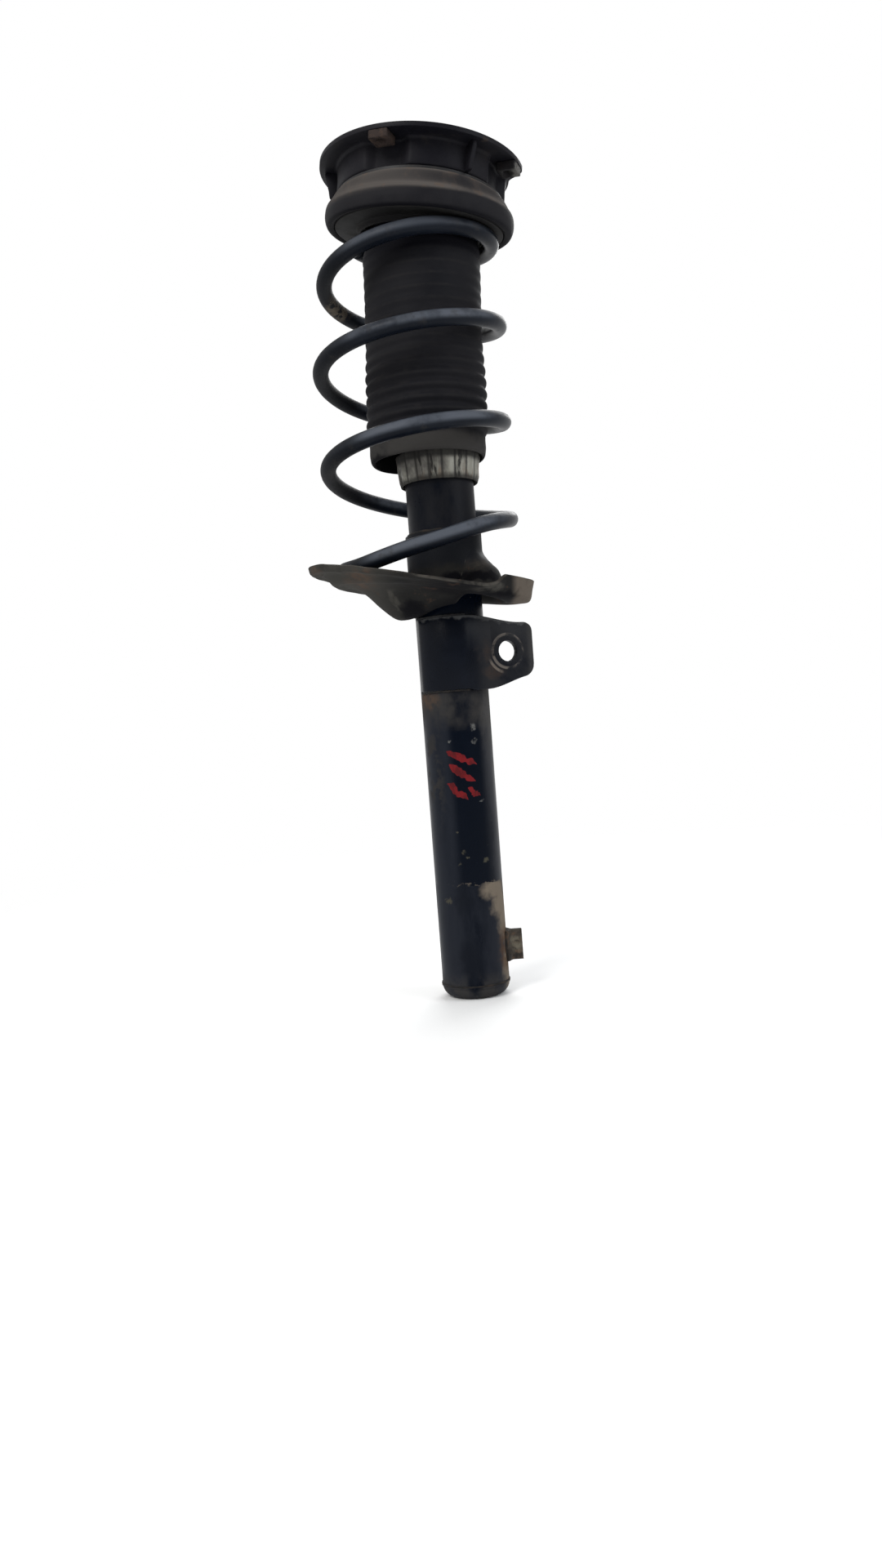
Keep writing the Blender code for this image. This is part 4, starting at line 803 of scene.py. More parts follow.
    colour, rough, metal = values["base"]
    colourSocket, roughSocket, metalSocket = (*colour, 1.0), rough, metal
    mixesMetal = any(layer.get("metal", metal) != metal for layer in values["layers"])
    for index, layer in enumerate(values["layers"], 1):
        mask = maskOf(layer, index)
        colourSocket = addNode(tree, "ShaderNodeMix", {"data_type": "RGBA"}, Factor=mask, i6=colourSocket,
                               i7=(*layer["colour"], 1.0)).outputs[2]
        roughSocket = addNode(tree, "ShaderNodeMix", Factor=mask, i2=roughSocket,
                              i3=layer["rough"]).outputs[0]
        if mixesMetal:
            metalSocket = addNode(tree, "ShaderNodeMix", Factor=mask, i2=metalSocket,
                                  i3=layer.get("metal", metal)).outputs[0]
    tree.links.new(colourSocket, shader.inputs["Base Color"])
    tree.links.new(roughSocket, shader.inputs["Roughness"])
    if mixesMetal:
        tree.links.new(metalSocket, shader.inputs["Metallic"])
    else:
        shader.inputs["Metallic"].default_value = metal
    height = None
    for scale, depth in values["bumps"]:
        grain = addNode(tree, "ShaderNodeTexNoise", Vector=place, Scale=scale, Detail=3.0)
        raised = maths(tree, "MULTIPLY", grain.outputs["Fac"], depth)
        height = raised if height is None else maths(tree, "ADD", height, raised)
    bump = addNode(tree, "ShaderNodeBump", Strength=1.0, Distance=1.0, Height=height)
    tree.links.new(bump.outputs[0], shader.inputs["Normal"])
    return material


finishes = {name: makeFinish(name, values) for name, values in finishValues.items()}
sweepTree = makeSweepTree()
fluteTree = makeFluteTree()
roundTree = makeRoundTree()
threadTree = makeThreadTree()
print("finishes and trees made:", len(finishes))


def pathPiece(name, points, radius, finishName, sides, closed=False, lump=0.0, lumpScale=300.0):
    # a bar swept along points in mm
    curve = bpy.data.curves.new(name + "Path", "CURVE")
    curve.dimensions = "3D"
    spline = curve.splines.new("POLY")
    spline.points.add(len(points) - 1)
    for target, point in zip(spline.points, points):
        target.co = (*(Vector(point) * mm), 1.0)
    spline.use_cyclic_u = closed
    path = bpy.data.objects.new(name, curve)
    bpy.context.scene.collection.objects.link(path)
    return grow(path, sweepTree, **{"Bar Radius": radius * mm, "Sides": sides, "Lump": lump * mm,
                                    "Lump Scale": lumpScale, "Material": finishes[finishName]})


def weldBead(name, points, radius, slotName, closed=True, lump=0.9, lumpScale=420.0):
    bead = pathPiece(name, points, radius, "weldMetal", 10, closed, lump, lumpScale)
    settle(bead, "strut_body", slotName, finishName="weldMetal")


# the damper tube stands on the floor, closed by a pressed foot; all places and sizes are in mm
tube = {"radius": 25.0, "wall": 2.5, "bottom": 10.0, "top": 396.0, "footCorner": 9.0, "footBrim": 25.6,
        "steps": 128}


def makeTube():
    inner = tube["radius"] - tube["wall"]
    body = turned("damperTube", [
        (tube["radius"] - 1.5, tube["top"]), (tube["radius"], tube["top"] - 1.5),
        *[(tube["radius"], z) for z in range(380, 20, -20)], (tube["radius"], tube["bottom"]),
        (inner, tube["bottom"]), (inner, tube["top"] - 3.5), (20.0, tube["top"] - 3.0),
        (20.0, tube["top"])], steps=tube["steps"], radius=0.5)
    settle(body, "strut_body", "black_paint", ["strut_tube"], "tubePaint")

    corner = tube["footCorner"]
    foot = turned("tubeFoot", [
        (0.0, 7.0), (13.0, 7.0), (18.0, 15.0), (inner - 0.3, 15.0), (inner - 0.3, tube["bottom"] - 0.3),
        (tube["footBrim"], tube["bottom"] - 0.3), (tube["footBrim"], tube["bottom"] - 1.6),
        *arc(tube["radius"] - corner, corner, corner, 0.0, -90.0, 10), (0.0, 0.0)],
        steps=tube["steps"], radius=0.5, solid=True)
    settle(foot, "strut_body", "black_paint", ["tube_end_cap"], "tubePaint")
    weldBead("footWeld", ringPath(tube["radius"], tube["bottom"] + 0.2), 0.75, "black_paint", lump=0.6)


makeTube()
print("damper tube made")


# a dab of red check paint: plain strokes (start, end, width) laid round the tube, without any shape to read
dab = {"strokes": [((-10.0, 183.0), (12.0, 172.0), 5.2), ((-9.0, 173.0), (10.0, 160.0), 5.6),
                   ((-11.0, 160.0), (4.0, 148.0), 5.0), ((4.0, 156.0), (13.0, 149.0), 4.0)],
       "lift": 0.06}


def onTube(place, rise):
    # a place (distance round the tube from its front, height) laid on the tube
    angle = -math.pi / 2.0 + place.x / tube["radius"]
    return onCircle(tube["radius"] + rise, angle, place.y)


def makeRedDab():
    patches = []
    # places across a stroke, from one side to the other
    sides = [j / 3.0 - 1.0 for j in range(7)]
    for (x0, z0), (x1, z1), width in dab["strokes"]:
        across = Vector((z1 - z0, x0 - x1)).normalized()
        rows = []
        for i in range(25):
            share = i / 24
            middle = Vector((between(x0, x1, share), between(z0, z1, share)))
            middle += across * lumps((x0, z0, share * 2.2), 1.3, 2.0)
            half = width * (0.55 + 0.45 * math.sin(math.pi * min(max(share * 1.05, 0.0), 1.0)))
            half *= 0.5 * (1.0 + lumps((share * 7.0, x0, z1), 1.0, 0.8))
            half *= min(1.0, 0.25 + 6.0 * share, 0.15 + 5.0 * (1.0 - share))
            outer = [onTube(middle + across * half * side, dab["lift"] * (1.0 - side ** 2) + 0.02)
                     for side in sides]
            inner = [onTube(middle + across * half * side, -0.2) for side in reversed(sides)]
            rows.append(outer + inner)
        patches.append(skin("redDab", rows, loopAlong=False, ends=True, sharp=60.0))
    first = patches[0]
    work = bmesh.new()
    for piece in patches:
        work.from_mesh(piece.data)
    mesh = bpy.data.meshes.new("redDab")
    work.to_mesh(mesh)
    work.free()
    for piece in patches[1:]:
        bpy.data.objects.remove(piece, do_unlink=True)
    first.data = mesh
    settle(first, "strut_body", "black_paint", finishName="redDab")


makeRedDab()
print("paint dab made")


# the light metal cap that the bump stop lands on
cap = {"bottom": 377.5, "top": 399.8, "flutes": 19, "depth": 0.8, "steps": 288}


def makeBumpCap():
    bottom, top = cap["bottom"], cap["top"]
    tubeEnd = tube["top"] + 0.3

    def dented(point, angle):
        outward = point.xy.length
        if outward > 27.0:
            push = lumps((math.cos(angle) * 3.0, math.sin(angle) * 3.0, point.z * 0.12), 1.0, 0.5)
            point.x += push * math.cos(angle)
            point.y += push * math.sin(angle)
        return point

    side = [(between(30.1, 28.5, i / 10.0), between(top - 2.2, bottom + 4.0, i / 10.0), 0.0)
            for i in range(11)]
    made = turned("bumpCap", [
        (29.0, top), (29.9, top - 0.8), *side, (28.0, bottom), (27.0, bottom), (25.5, bottom + 3.0),
        (25.5, tubeEnd), (13.0, tubeEnd), (13.0, top)],
        steps=cap["steps"], radius=0.35, sharp=55.0, shift=dented)
    weight = made.data.attributes.new("flute", "FLOAT", "POINT")
    for i, vertex in enumerate(made.data.vertices):
        reach = vertex.co.xy.length / mm
        height = vertex.co.z / mm
        inside = easeIn(reach - 27.2)
        weight.data[i].value = inside * easeIn((height - bottom) / 3.0) * easeIn((top + 0.6 - height) / 2.4)
    grown = grow(made, fluteTree, **{
        "Flutes Round": float(cap["flutes"]), "Flutes Per Metre": 0.0, "Start Height": 0.0,
        "Depth": cap["depth"] * mm, "Sharpness": 0.7, "Weight": "flute", "Material": finishes["zinc_cap"]})
    settle(grown, "strut_body", "zinc_cap", ["bump_cap"])


makeBumpCap()
print("bump cap made")


# the pressed lower spring seat, its rim rolled up into a wing on the right
seat = {"sheet": 2.6, "bore": 25.3, "collarTop": 341.0, "funnelBottom": 281.4, "shoulder": 5.0, "wing": 6.0,
        "front": 1.3, "rim": (307.3, -16.1, 3.9, 2.9), "floor": (301.4, -11.6, 2.2, 0.5),
        "steps": 216, "cuts": 5}


def heightRound(angle, waves):
    # a height that changes round the seat: its mean, then how far it follows each wave
    mean, cosine, sine, double = waves
    return mean + cosine * math.cos(angle) + sine * math.sin(angle) + double * math.cos(2.0 * angle)


def seatRim(angle):
    degrees = math.degrees(math.remainder(angle, 2.0 * math.pi))
    shoulder = easeIn((degrees + 73.0) / 15.0) * easeIn((60.0 - degrees) / 25.0)
    wing = easeIn((degrees + 63.0) / 9.0) * easeIn((63.0 - degrees) / 25.0)
    front = easeIn((degrees + 175.0) / 20.0) * easeIn((-98.0 - degrees) / 15.0)
    return (heightRound(angle, seat["rim"]) + seat["shoulder"] * shoulder + seat["wing"] * wing
            + seat["front"] * front)


def seatLine(angle):
    # lower side of the dish, from the rim in to the collar
    left = 0.5 - 0.5 * math.cos(angle)
    deep = 0.5 - 0.5 * math.cos(angle - math.radians(25.0))
    cone = easeIn((math.cos(angle) - 0.1) / 0.7)
    rim = seatRim(angle) - seat["sheet"]
    floor = heightRound(angle, seat["floor"]) - seat["sheet"]
    funnel = between(floor + 2.0, seat["funnelBottom"], deep ** 1.5)

    def inner(rise, share, lift=0.0):
        return between(between(floor, funnel, share) + lift, floor + rise, cone)

    # each radius goes from its value on the right to the one on the left
    return [
        (between(64.0, 100.5, left), rim), (between(62.5, 98.5, left), between(rim, floor, 0.4)),
        (between(60.4, 89.5, left), between(rim, floor, between(0.92, 0.50, left))),
        (between(55.5, 82.5, left), floor - 1.5 * left), (between(45.0, 74.0, left), floor - 1.5 * left),
        (between(41.2, 61.0, left), inner(3.0, 0.3)), (between(39.3, 50.0, left), inner(14.0, 0.7)),
        (between(36.8, 40.0, left), inner(23.0, 1.0)), (33.0, inner(27.5, 1.0, -1.0)),
        (between(28.5, 27.8, left), inner(33.0, 1.0, 0.6)), (seat["bore"], inner(40.0, 1.0, 5.5)),
        (seat["bore"], seat["collarTop"])]


def makeSeat():
    rows = []
    for angle in anglesRound(seat["steps"]):
        row = []
        for r, z in smoothLine(seatLine(angle), seat["cuts"]):
            r = max(r, seat["bore"])
            away = easeIn((r - 45.0) / 40.0)
            z += lumps((r * math.cos(angle), r * math.sin(angle), 0.0), 0.07, 0.5) * away
            row.append(onCircle(r, angle, z))
        rows.append(row)
    dish = skin("lowerSpringSeat", rows, loopAcross=False, sharp=50.0)
    thicken(dish, seat["sheet"])
    roundEdges(dish, 0.7 * mm, 2, 50.0)
    settle(dish, "strut_body", "dusty_paint", ["lower_spring_seat"])
    weldBead("seatWeld", ringPath(seat["bore"] + 0.1, seat["collarTop"] + 0.6), 1.3, "dusty_paint",
             lumpScale=380.0)


makeSeat()
print("lower seat made")


# the coil spring: heights of the wire's middle by degrees of turn
spring = {"wire": 5.75, "coil": 65.2, "endCoil": 61.0, "topCoil": 52.5, "topLean": 16.0, "stepsPerTurn": 96,
          "sides": 24, "middles": (-11.5, -15.2, -13.4, -2.5),
          "heights": [(-25.0, 297.4), (0.0, 297.6), (45.0, 302.4), (90.0, 310.9), (135.0, 317.6),
                      (180.0, 319.4), (225.0, 317.6), (270.0, 326.7), (315.0, 340.3), (360.0, 349.5),
                      (450.0, 371.0), (540.0, 391.5), (630.0, 406.0), (720.0, 419.5), (810.0, 440.0),
                      (900.0, 461.0), (990.0, 474.5), (1080.0, 488.0), (1170.0, 508.0), (1260.0, 527.0),
                      (1350.0, 541.5), (1440.0, 546.0), (1530.0, 557.5), (1590.0, 560.5)]}


def wireHeight(turn):
    # a smooth curve through the listed heights
    points = spring["heights"]
    index = 0
    while index < len(points) - 2 and turn > points[index + 1][0]:
        index += 1
    before, start = points[max(index - 1, 0)], points[index]
    end, after = points[index + 1], points[min(index + 2, len(points) - 1)]
    span = end[0] - start[0]
    share = (turn - start[0]) / span
    leave = (end[1] - before[1]) / (end[0] - before[0]) * span
    arrive = (after[1] - start[1]) / (after[0] - start[0]) * span
    square, cube = share ** 2, share ** 3
    return ((2 * cube - 3 * square + 1) * start[1] + (cube - 2 * square + share) * leave
            + (3 * square - 2 * cube) * end[1] + (cube - square) * arrive)


def wirePoint(turn):
    widening = easeIn((turn - 150.0) / 130.0)
    narrowing = easeIn((turn - 1190.0) / 220.0)
    radius = between(between(spring["endCoil"], spring["coil"], widening), spring["topCoil"], narrowing)
    # the coil's middle along X: low end, lower turns, upper turns, top end
    first, lower, upper, last = spring["middles"]
    centre = between(between(first, lower, widening), upper, easeIn((turn - 900.0) / 180.0))
    centre = between(centre, last, narrowing)
    angle = math.radians(turn)
    return Vector((centre + radius * math.cos(angle), radius * math.sin(angle), wireHeight(turn)))


def makeSpring():
    first, last = spring["heights"][0][0], spring["heights"][-1][0]
    count = round((last - first) / 360.0 * spring["stepsPerTurn"])
    points = [wirePoint(between(first, last, i / count)) for i in range(count + 1)]
    coil = pathPiece("coilSpring", points, spring["wire"], "springPaint", spring["sides"])
    roundEdges(coil, 0.8 * mm, 2, 60.0)
    settle(coil, "strut_body", "black_paint", ["coil_spring"], "springPaint")
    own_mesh(coil)


makeSpring()
print("spring made")


# the link bracket wraps the tube and ends in a flat ear with one hole
bracket = {"bottom": 227.0, "top": 280.0, "sheet": 3.5, "turn": 24.0, "length": 52.5, "holeReach": 31.3,
           "holeHeight": 252.7, "holeRadius": 7.5, "bossRadius": 13.0, "inner": 25.3, "weld": 25.5,
           "start": -160.0, "flat": 14.0, "topDrop": 6.6, "bottomRise": 8.5, "corner": 7.0}


def makeBracket():
    inner = bracket["inner"]
    earTurn = math.radians(bracket["turn"])
    leave = earTurn - math.pi / 2.0
    along = Vector((math.cos(earTurn), math.sin(earTurn), 0.0))
    outward = Vector((math.cos(leave), math.sin(leave), 0.0))
    start = math.radians(bracket["start"])
    length, flat, corner = bracket["length"], bracket["flat"], bracket["corner"]
    rows = []

    def addRow(near, far, low, high):
        # one section of the sheet with its four corners rounded
        edge = min(0.9, (far - near).length * 0.45)
        side = (far - near).normalized()
        row = []
        for index, (place, z) in enumerate(((near, low), (far, low), (far, high), (near, high))):
            toSide = side if index in (0, 3) else -side
            toMiddle = 1.0 if index in (0, 1) else -1.0
            curve = [(1.0, 0.0), (0.3, 0.3), (0.0, 1.0)]
            if index in (0, 2):
                curve = curve[::-1]
            for across, rise in curve:
                spot = place + toSide * edge * across
                row.append(Vector((spot.x, spot.y, z + toMiddle * edge * rise)) * mm)
        rows.append(row)

    arcSteps, earSteps = 42, 40
    for i in range(arcSteps + 1):
        share = i / arcSteps
        angle = between(start, leave, share)
        normal = Vector((math.cos(angle), math.sin(angle), 0.0))
        # the band is thin where it starts and has its full thickness where it leaves the tube
        wall = between(2.0, bracket["sheet"], easeIn((share - 0.5) * 2.0))
        wall *= between(0.35, 1.0, easeIn(share * 6.0))
        addRow(normal * inner, normal * (inner + wall), bracket["bottom"], bracket["top"])
    for i in range(1, earSteps + 1):
        reach = length * (1.0 - (1.0 - i / earSteps) ** 1.35)
        foot = outward * inner + along * reach
        top = bracket["top"] - bracket["topDrop"] * easeIn(reach / length * 1.2)
        bottom = bracket["bottom"] - 1.0 + bracket["bottomRise"] * easeIn((reach - flat) / (length - flat))
        # the ear's end is rounded
        end = min(max(reach - length + corner, 0.0) / corner, 1.0)
        drop = 1.0 - math.sqrt(max(1.0 - end ** 2, 0.0))
        top -= 6.0 * drop
        bottom += 8.0 * drop
        addRow(foot, foot + outward * bracket["sheet"], bottom, top)
    ear = skin("linkBracket", rows, loopAlong=False, ends=True, sharp=50.0)
    middle = outward * (inner + bracket["sheet"] / 2.0) + along * bracket["holeReach"]
    middle.z = bracket["holeHeight"]
    place = Matrix.Translation(middle * mm) @ outward.to_track_quat("Z", "Y").to_matrix().to_4x4()
    half = bracket["sheet"] / 2.0
    boss = turned("earBoss", [
        (bracket["bossRadius"] - 1.6, half + 0.8), (bracket["bossRadius"], half - 0.4),
        (bracket["bossRadius"], -half + 0.4), (bracket["bossRadius"] - 1.6, -half - 0.8),
        (2.0, -half - 0.8), (2.0, half + 0.8)], steps=96, radius=0.6, place=place)
    cutWith(ear, boss, "UNION")
    hole = peg("earHole", bracket["holeRadius"], -12.0, 12.0, place, 64)
    cutWith(ear, hole)
    roundEdges(ear, 0.35 * mm, 2, 50.0)
    settle(ear, "strut_body", "black_paint", ["link_bracket"], "bracketPaint")

    for name, z in (("bracketWeldLow", bracket["bottom"] - 0.2), ("bracketWeldHigh", bracket["top"] + 0.2)):
        points = []
        for i in range(60):
            angle = between(start + math.radians(2.0), leave, i / 59.0)
            points.append((bracket["weld"] * math.cos(angle), bracket["weld"] * math.sin(angle), z))
        weldBead(name, points, 1.1, "black_paint", closed=False)


# the locating tab near the tube's foot, with a pressed dimple (distance out, height, radius)
tab = {"bottom": 24.0, "top": 46.5, "inner": 25.3, "reach": 36.6, "thickness": 5.0, "foot": 9.0,
       "weld": 25.2, "dimple": (32.2, 36.5, 2.6)}


def makeTab():
    inner = tab["inner"]
    half = tab["thickness"] / 2.0
    bend = math.asin(tab["foot"] / (inner + 2.0))
    outline = [(tab["reach"], -half), (tab["reach"], half), (inner + 3.5, half),
               ((inner + 1.6) * math.cos(bend), (inner + 1.6) * math.sin(bend))]
    outline += [(inner * math.cos(bend * (1.0 - i / 8.0)), inner * math.sin(bend * (1.0 - i / 8.0)))
                for i in range(17)]
    outline += [((inner + 1.6) * math.cos(bend), -(inner + 1.6) * math.sin(bend)), (inner + 3.5, -half)]
    blade = plate("locatingTab", outline, tab["bottom"], tab["top"])
    out, height, size = tab["dimple"]
    dimple = roundBall("dimple", size, 3)
    dimple.data.transform(Matrix.Translation(Vector((out, -half - size / 2.0, height)) * mm))
    cutWith(blade, dimple)
    roundEdges(blade, 0.6 * mm, 2, 40.0)
    settle(blade, "strut_body", "rusty_steel", ["locating_tab"])
    # the weld runs in a loop round the tab's foot
    points = []
    for loop in anglesRound(43):
        wide = bend * 1.02 * math.sin(loop)
        z = between(tab["bottom"], tab["top"], 0.5 - 0.5 * math.cos(loop))
        points.append((tab["weld"] * math.cos(wide), tab["weld"] * math.sin(wide), z))
    weldBead("tabWeld", points, 1.0, "rusty_steel")


makeBracket()
makeTab()
print("bracket and tab made")


# the dust boot hangs from the spring plate
boot = {"bottom": 395.0, "shoulder": 543.0, "radius": 43.9, "pleats": 16, "lipTop": 408.0, "steps": 128,
        "drift": (-1.0, -6.6), "pleatDepth": (1.5, 0.32), "shallowFrom": 446.0}


def makeBoot():
    bottom, lipTop, shoulder, radius = boot["bottom"], boot["lipTop"], boot["shoulder"], boot["radius"]

    def hung(point, angle):
        # the boot hangs further to the left the lower it gets
        drift = between(*boot["drift"], (shoulder - point.z) / (shoulder - bottom))
        sag = lumps((math.cos(angle) * 1.6, math.sin(angle) * 1.6, point.z * 0.035), 1.0, 0.9)
        share = easeIn((point.xy.length - 38.0) / 2.0)
        point.x += sag * math.cos(angle) * share + drift
        point.y += sag * math.sin(angle) * share
        return point

    count = 150
    side = [(radius - 1.6, between(shoulder - 1.0, lipTop, i / count), 0.0) for i in range(count + 1)]
    inside = [(between(39.5, 41.0, i / 30.0), between(lipTop, shoulder - 2.0, i / 30.0), 0.0)
              for i in range(31)]
    made = turned("dustBoot", [
        (34.8, 560.0), (37.2, 560.0), (37.2, 549.0), (41.5, 546.0, 1.5), *side, (42.3, 406.0, 0.8),
        (42.6, 401.5, 1.5), (42.0, 396.5, 1.0), (41.0, bottom), (39.3, bottom), (39.4, 400.0), *inside,
        (34.8, 546.0)], steps=boot["steps"], radius=0.5, sharp=70.0)
    deep, shallow = boot["pleatDepth"]
    weight = made.data.attributes.new("pleat", "FLOAT", "POINT")
    for i, vertex in enumerate(made.data.vertices):
        reach, height = vertex.co.xy.length / mm, vertex.co.z / mm
        depth = between(deep, shallow, easeIn((height - boot["shallowFrom"]) / 40.0))
        keep = easeIn((height - lipTop - 0.5) / 3.0) * easeIn((shoulder - 0.5 - height) / 3.0)
        weight.data[i].value = easeIn((reach - 41.6) / 0.5) * keep * depth / deep
    grown = grow(made, fluteTree, **{
        "Flutes Round": 0.0, "Flutes Per Metre": boot["pleats"] / ((shoulder - lipTop) * mm),
        "Start Height": (shoulder - 2.0) * mm, "Depth": 2.0 * mm, "Sharpness": 0.75, "Weight": "pleat",
        "Material": finishes["bootRubber"]})
    for vertex in grown.data.vertices:
        point = vertex.co / mm
        vertex.co = hung(point, math.atan2(point.y, point.x)) * mm
    grown.data.shade_smooth()
    settle(grown, "spring_top", "black_rubber", ["dust_boot"], "bootRubber")
    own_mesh(grown)


makeBoot()
print("boot made")


# the ball on the rod that carries the mount; everything above the boot leans about its middle
joint = {"height": 568.0, "lean": 7.0, "ball": 18.0, "halfBall": 15.2, "socket": 18.3, "halfSocket": 10.5}
lean = (Matrix.Translation((0.0, 0.0, joint["height"] * mm))
        @ Matrix.Rotation(math.radians(joint["lean"]), 4, "Y"))

# the spring plate with a rounded rim, and the rubber isolator that follows its slope
springPlate = {"bore": 39.5, "top": 2.0, "slope": 0.112, "steps": 192}


def sloping(point, angle):
    point.z += springPlate["slope"] * point.xy.length * math.sin(angle)
    return point


def makeSpringPlate():
    bore, top = springPlate["bore"], springPlate["top"]

    def section(angle):
        slope = springPlate["slope"] * math.sin(angle)

        def rim(radius, height, most):
            return radius, min(height + slope * radius, most)

        def free(radius, height):
            return radius, height + slope * radius

        line = smoothLine([
            (61.5, 8.4), (62.9, 7.9), rim(65.4, 6.0, 7.2), rim(67.5, 3.0, 6.2), rim(68.3, 0.0, 5.0),
            rim(68.3, -4.5, 3.4), free(66.8, -8.6), free(64.2, -10.0), free(61.8, -9.0)], 5)
        return rounded([*[(r, z, 0.0) for r, z in line], free(61.6, -6.3), free(bore, -6.3), (bore, top),
                        (60.9, top), (61.1, 8.1)], 0.35)

    rows = []
    for angle in anglesRound(springPlate["steps"]):
        row = []
        for r, z in section(angle):
            dent = lumps((math.cos(angle) * 2.0, math.sin(angle) * 2.0, z * 0.1), 1.0, 0.25)
            row.append(onCircle(r + dent * easeIn((r - 62.0) / 4.0), angle, z))
        rows.append(row)
    made = skin("upperSpringPlate", rows, sharp=50.0)
    made.data.transform(lean)
    settle(made, "spring_top", "black_paint", ["upper_spring_plate"], "platePaint")


def makeIsolator():
    pad = turned("springIsolator", [
        (61.0, -6.6), (61.0, -9.6), (45.0, -9.6, 1.0), (44.4, -13.5), (42.6, -13.5), (42.0, -6.6)],
        steps=128, radius=0.6, place=lean, shift=sloping)
    settle(pad, "spring_top", "black_rubber", ["spring_isolator"])


# the ball bearing between the plate and the mount
bearing = {"circle": 49.0, "ball": 2.3, "balls": 36, "height": 6.9, "top": 11.3, "face": 1.4,
           "cage": (2.1, 0.8)}


def makeBearing():
    circle, height, top = bearing["circle"], bearing["height"], bearing["top"]
    groove = bearing["ball"] + 0.35
    reach = math.degrees(math.asin(bearing["face"] / groove))
    foot = springPlate["top"] + 0.3
    low, high = height - bearing["face"], height + bearing["face"]
    lower = turned("bearingLowerRace", [
        (57.0, low), (57.0, foot), (41.0, foot), (41.0, low),
        *arc(circle, height, groove, 180.0 + reach, 360.0 - reach, 8)], steps=96, radius=0.3, place=lean)
    settle(lower, "spring_top", "steel", ["bearing_lower_race"])
    cover = turned("bearingCover", [
        (60.6, top), (60.6, foot + 1.0), (58.0, foot + 1.0), (58.0, high),
        *arc(circle, height, groove, reach, 180.0 - reach, 8), (41.0, high), (41.0, top)],
        steps=96, radius=0.3, place=lean)
    settle(cover, "strut_mount", "black_plastic", ["bearing_cover"])

    ball = roundBall("bearingBalls", bearing["ball"], 2)
    balls = grow(ball, roundTree, **{"Circle Radius": circle * mm, "Count": bearing["balls"],
                                     "Height": height * mm, "Material": finishes["steel"]})
    balls.data.transform(lean)
    settle(balls, "spring_top", "steel")
    wide, tall = bearing["cage"]
    cage = turned("bearingCage", [
        (circle + wide, height + tall), (circle + wide, height - tall), (circle - wide, height - tall),
        (circle - wide, height + tall)], steps=96, radius=0.2, place=lean)
    settle(cage, "spring_top", "black_plastic", ["bearing_cage"])


makeSpringPlate()
makeIsolator()
makeBearing()
print("spring plate and bearing made")


# the top mount: cup, flange, lugs for the bolts and ribs (places in degrees)
mount = {"flange": 73.8, "underside": 30.3, "notch": (-15.0, 95.0), "sheet": 3.0, "cup": 61.0,
         "cupBottom": 11.6, "collar": 38.0, "collarTop": 27.0, "boltCircle": 66.6, "boltHole": 4.2,
         "lugs": (-113.0, -23.0, 113.0), "pocket": 5.8, "ribs": (-58.0, 46.0, 179.0), "steps": 288}


def pocketAt(angle):
    # the cup's wall gives way to the nuts
    nearest = min(abs(math.remainder(angle - math.radians(lug), 2.0 * math.pi)) for lug in mount["lugs"])
    return mount["pocket"] * (1.0 - easeIn((nearest - math.radians(9.0)) / math.radians(8.0)))


def flangeAt(angle):
    # the flange's radius, smaller in the notch
    first, last = mount["notch"]
    middle = math.radians(first + last) / 2.0
    fromMiddle = math.degrees(abs(math.remainder(angle - middle, 2.0 * math.pi)))
    notch = easeIn(((last - first) / 2.0 - fromMiddle) / 14.0)
    return between(mount["flange"], mount["cup"] + 2.0, notch)


def makeMountShell():
    cup, under, low = mount["cup"], mount["underside"], mount["cupBottom"]
    rows = []
    for angle in anglesRound(mount["steps"]):
        dip = pocketAt(angle)
        edge = flangeAt(angle)
        fillet = cup + 1.2 - dip
        line = rounded([
            (edge, under), (between(edge, fillet, 0.4), under, 0.0), (fillet, under, 1.6),
            (cup - dip, under - 1.6, 0.8), (cup - 0.4 - dip, 21.0, 0.0),
            (cup - 0.3 - 0.9 * dip, low + 3.4, 0.0), (cup - 0.6 - 0.8 * dip, low + 0.8, 1.2),
            (cup - 2.6 - 0.7 * dip, low, 1.0), (44.0, low, 0.0),
            (mount["collar"] + 1.8, low + 0.9, 1.5), (mount["collar"], low + 4.0, 2.0),
            (mount["collar"], mount["collarTop"])], 0.5, closed=False, cuts=4)
        rows.append([onCircle(r, angle, z) for r, z in line])
    shell = skin("mountShell", rows, loopAcross=False, sharp=50.0)
    thicken(shell, mount["sheet"])
    for index, degrees in enumerate(mount["lugs"], 1):
        spot = Matrix.Translation(onCircle(mount["boltCircle"], math.radians(degrees), under))
        cutWith(shell, peg(f"boltHole{index}", mount["boltHole"], -8.0, 12.0, spot, 40))
    roundEdges(shell, 0.5 * mm, 2, 50.0)
    shell.data.transform(lean)
    settle(shell, "strut_mount", "black_paint", ["mount_shell", "mount_flange"], "mountPaint")


def makeMountRibs():
    cup, under = mount["cup"], mount["underside"]
    for index, degrees in enumerate(mount["ribs"], 1):
        angle = math.radians(degrees)
        reach = min(flangeAt(angle) - 2.5, cup + 9.0)
        outline = [(cup - 2.0, under + 0.6), (reach, under + 0.6), (reach, under - 3.0),
                   (min(reach, cup + 6.0), 18.0), (min(reach, cup + 5.0), 12.4), (cup - 2.0, 12.1)]
        place = Matrix.Rotation(angle, 4, "Z") @ Matrix.Rotation(math.pi / 2.0, 4, "X")
        rib = plate(f"mountRib{index}", rounded(outline, 1.2), -1.5, 1.5, place)
        roundEdges(rib, 0.6 * mm, 2, 50.0)
        rib.data.transform(lean)
        settle(rib, "strut_mount", "black_paint", finishName="mountPaint")


# the square weld nuts under the flange
nuts = {"width": 14.0, "height": 5.5, "bore": 3.5, "thread": 3.9}


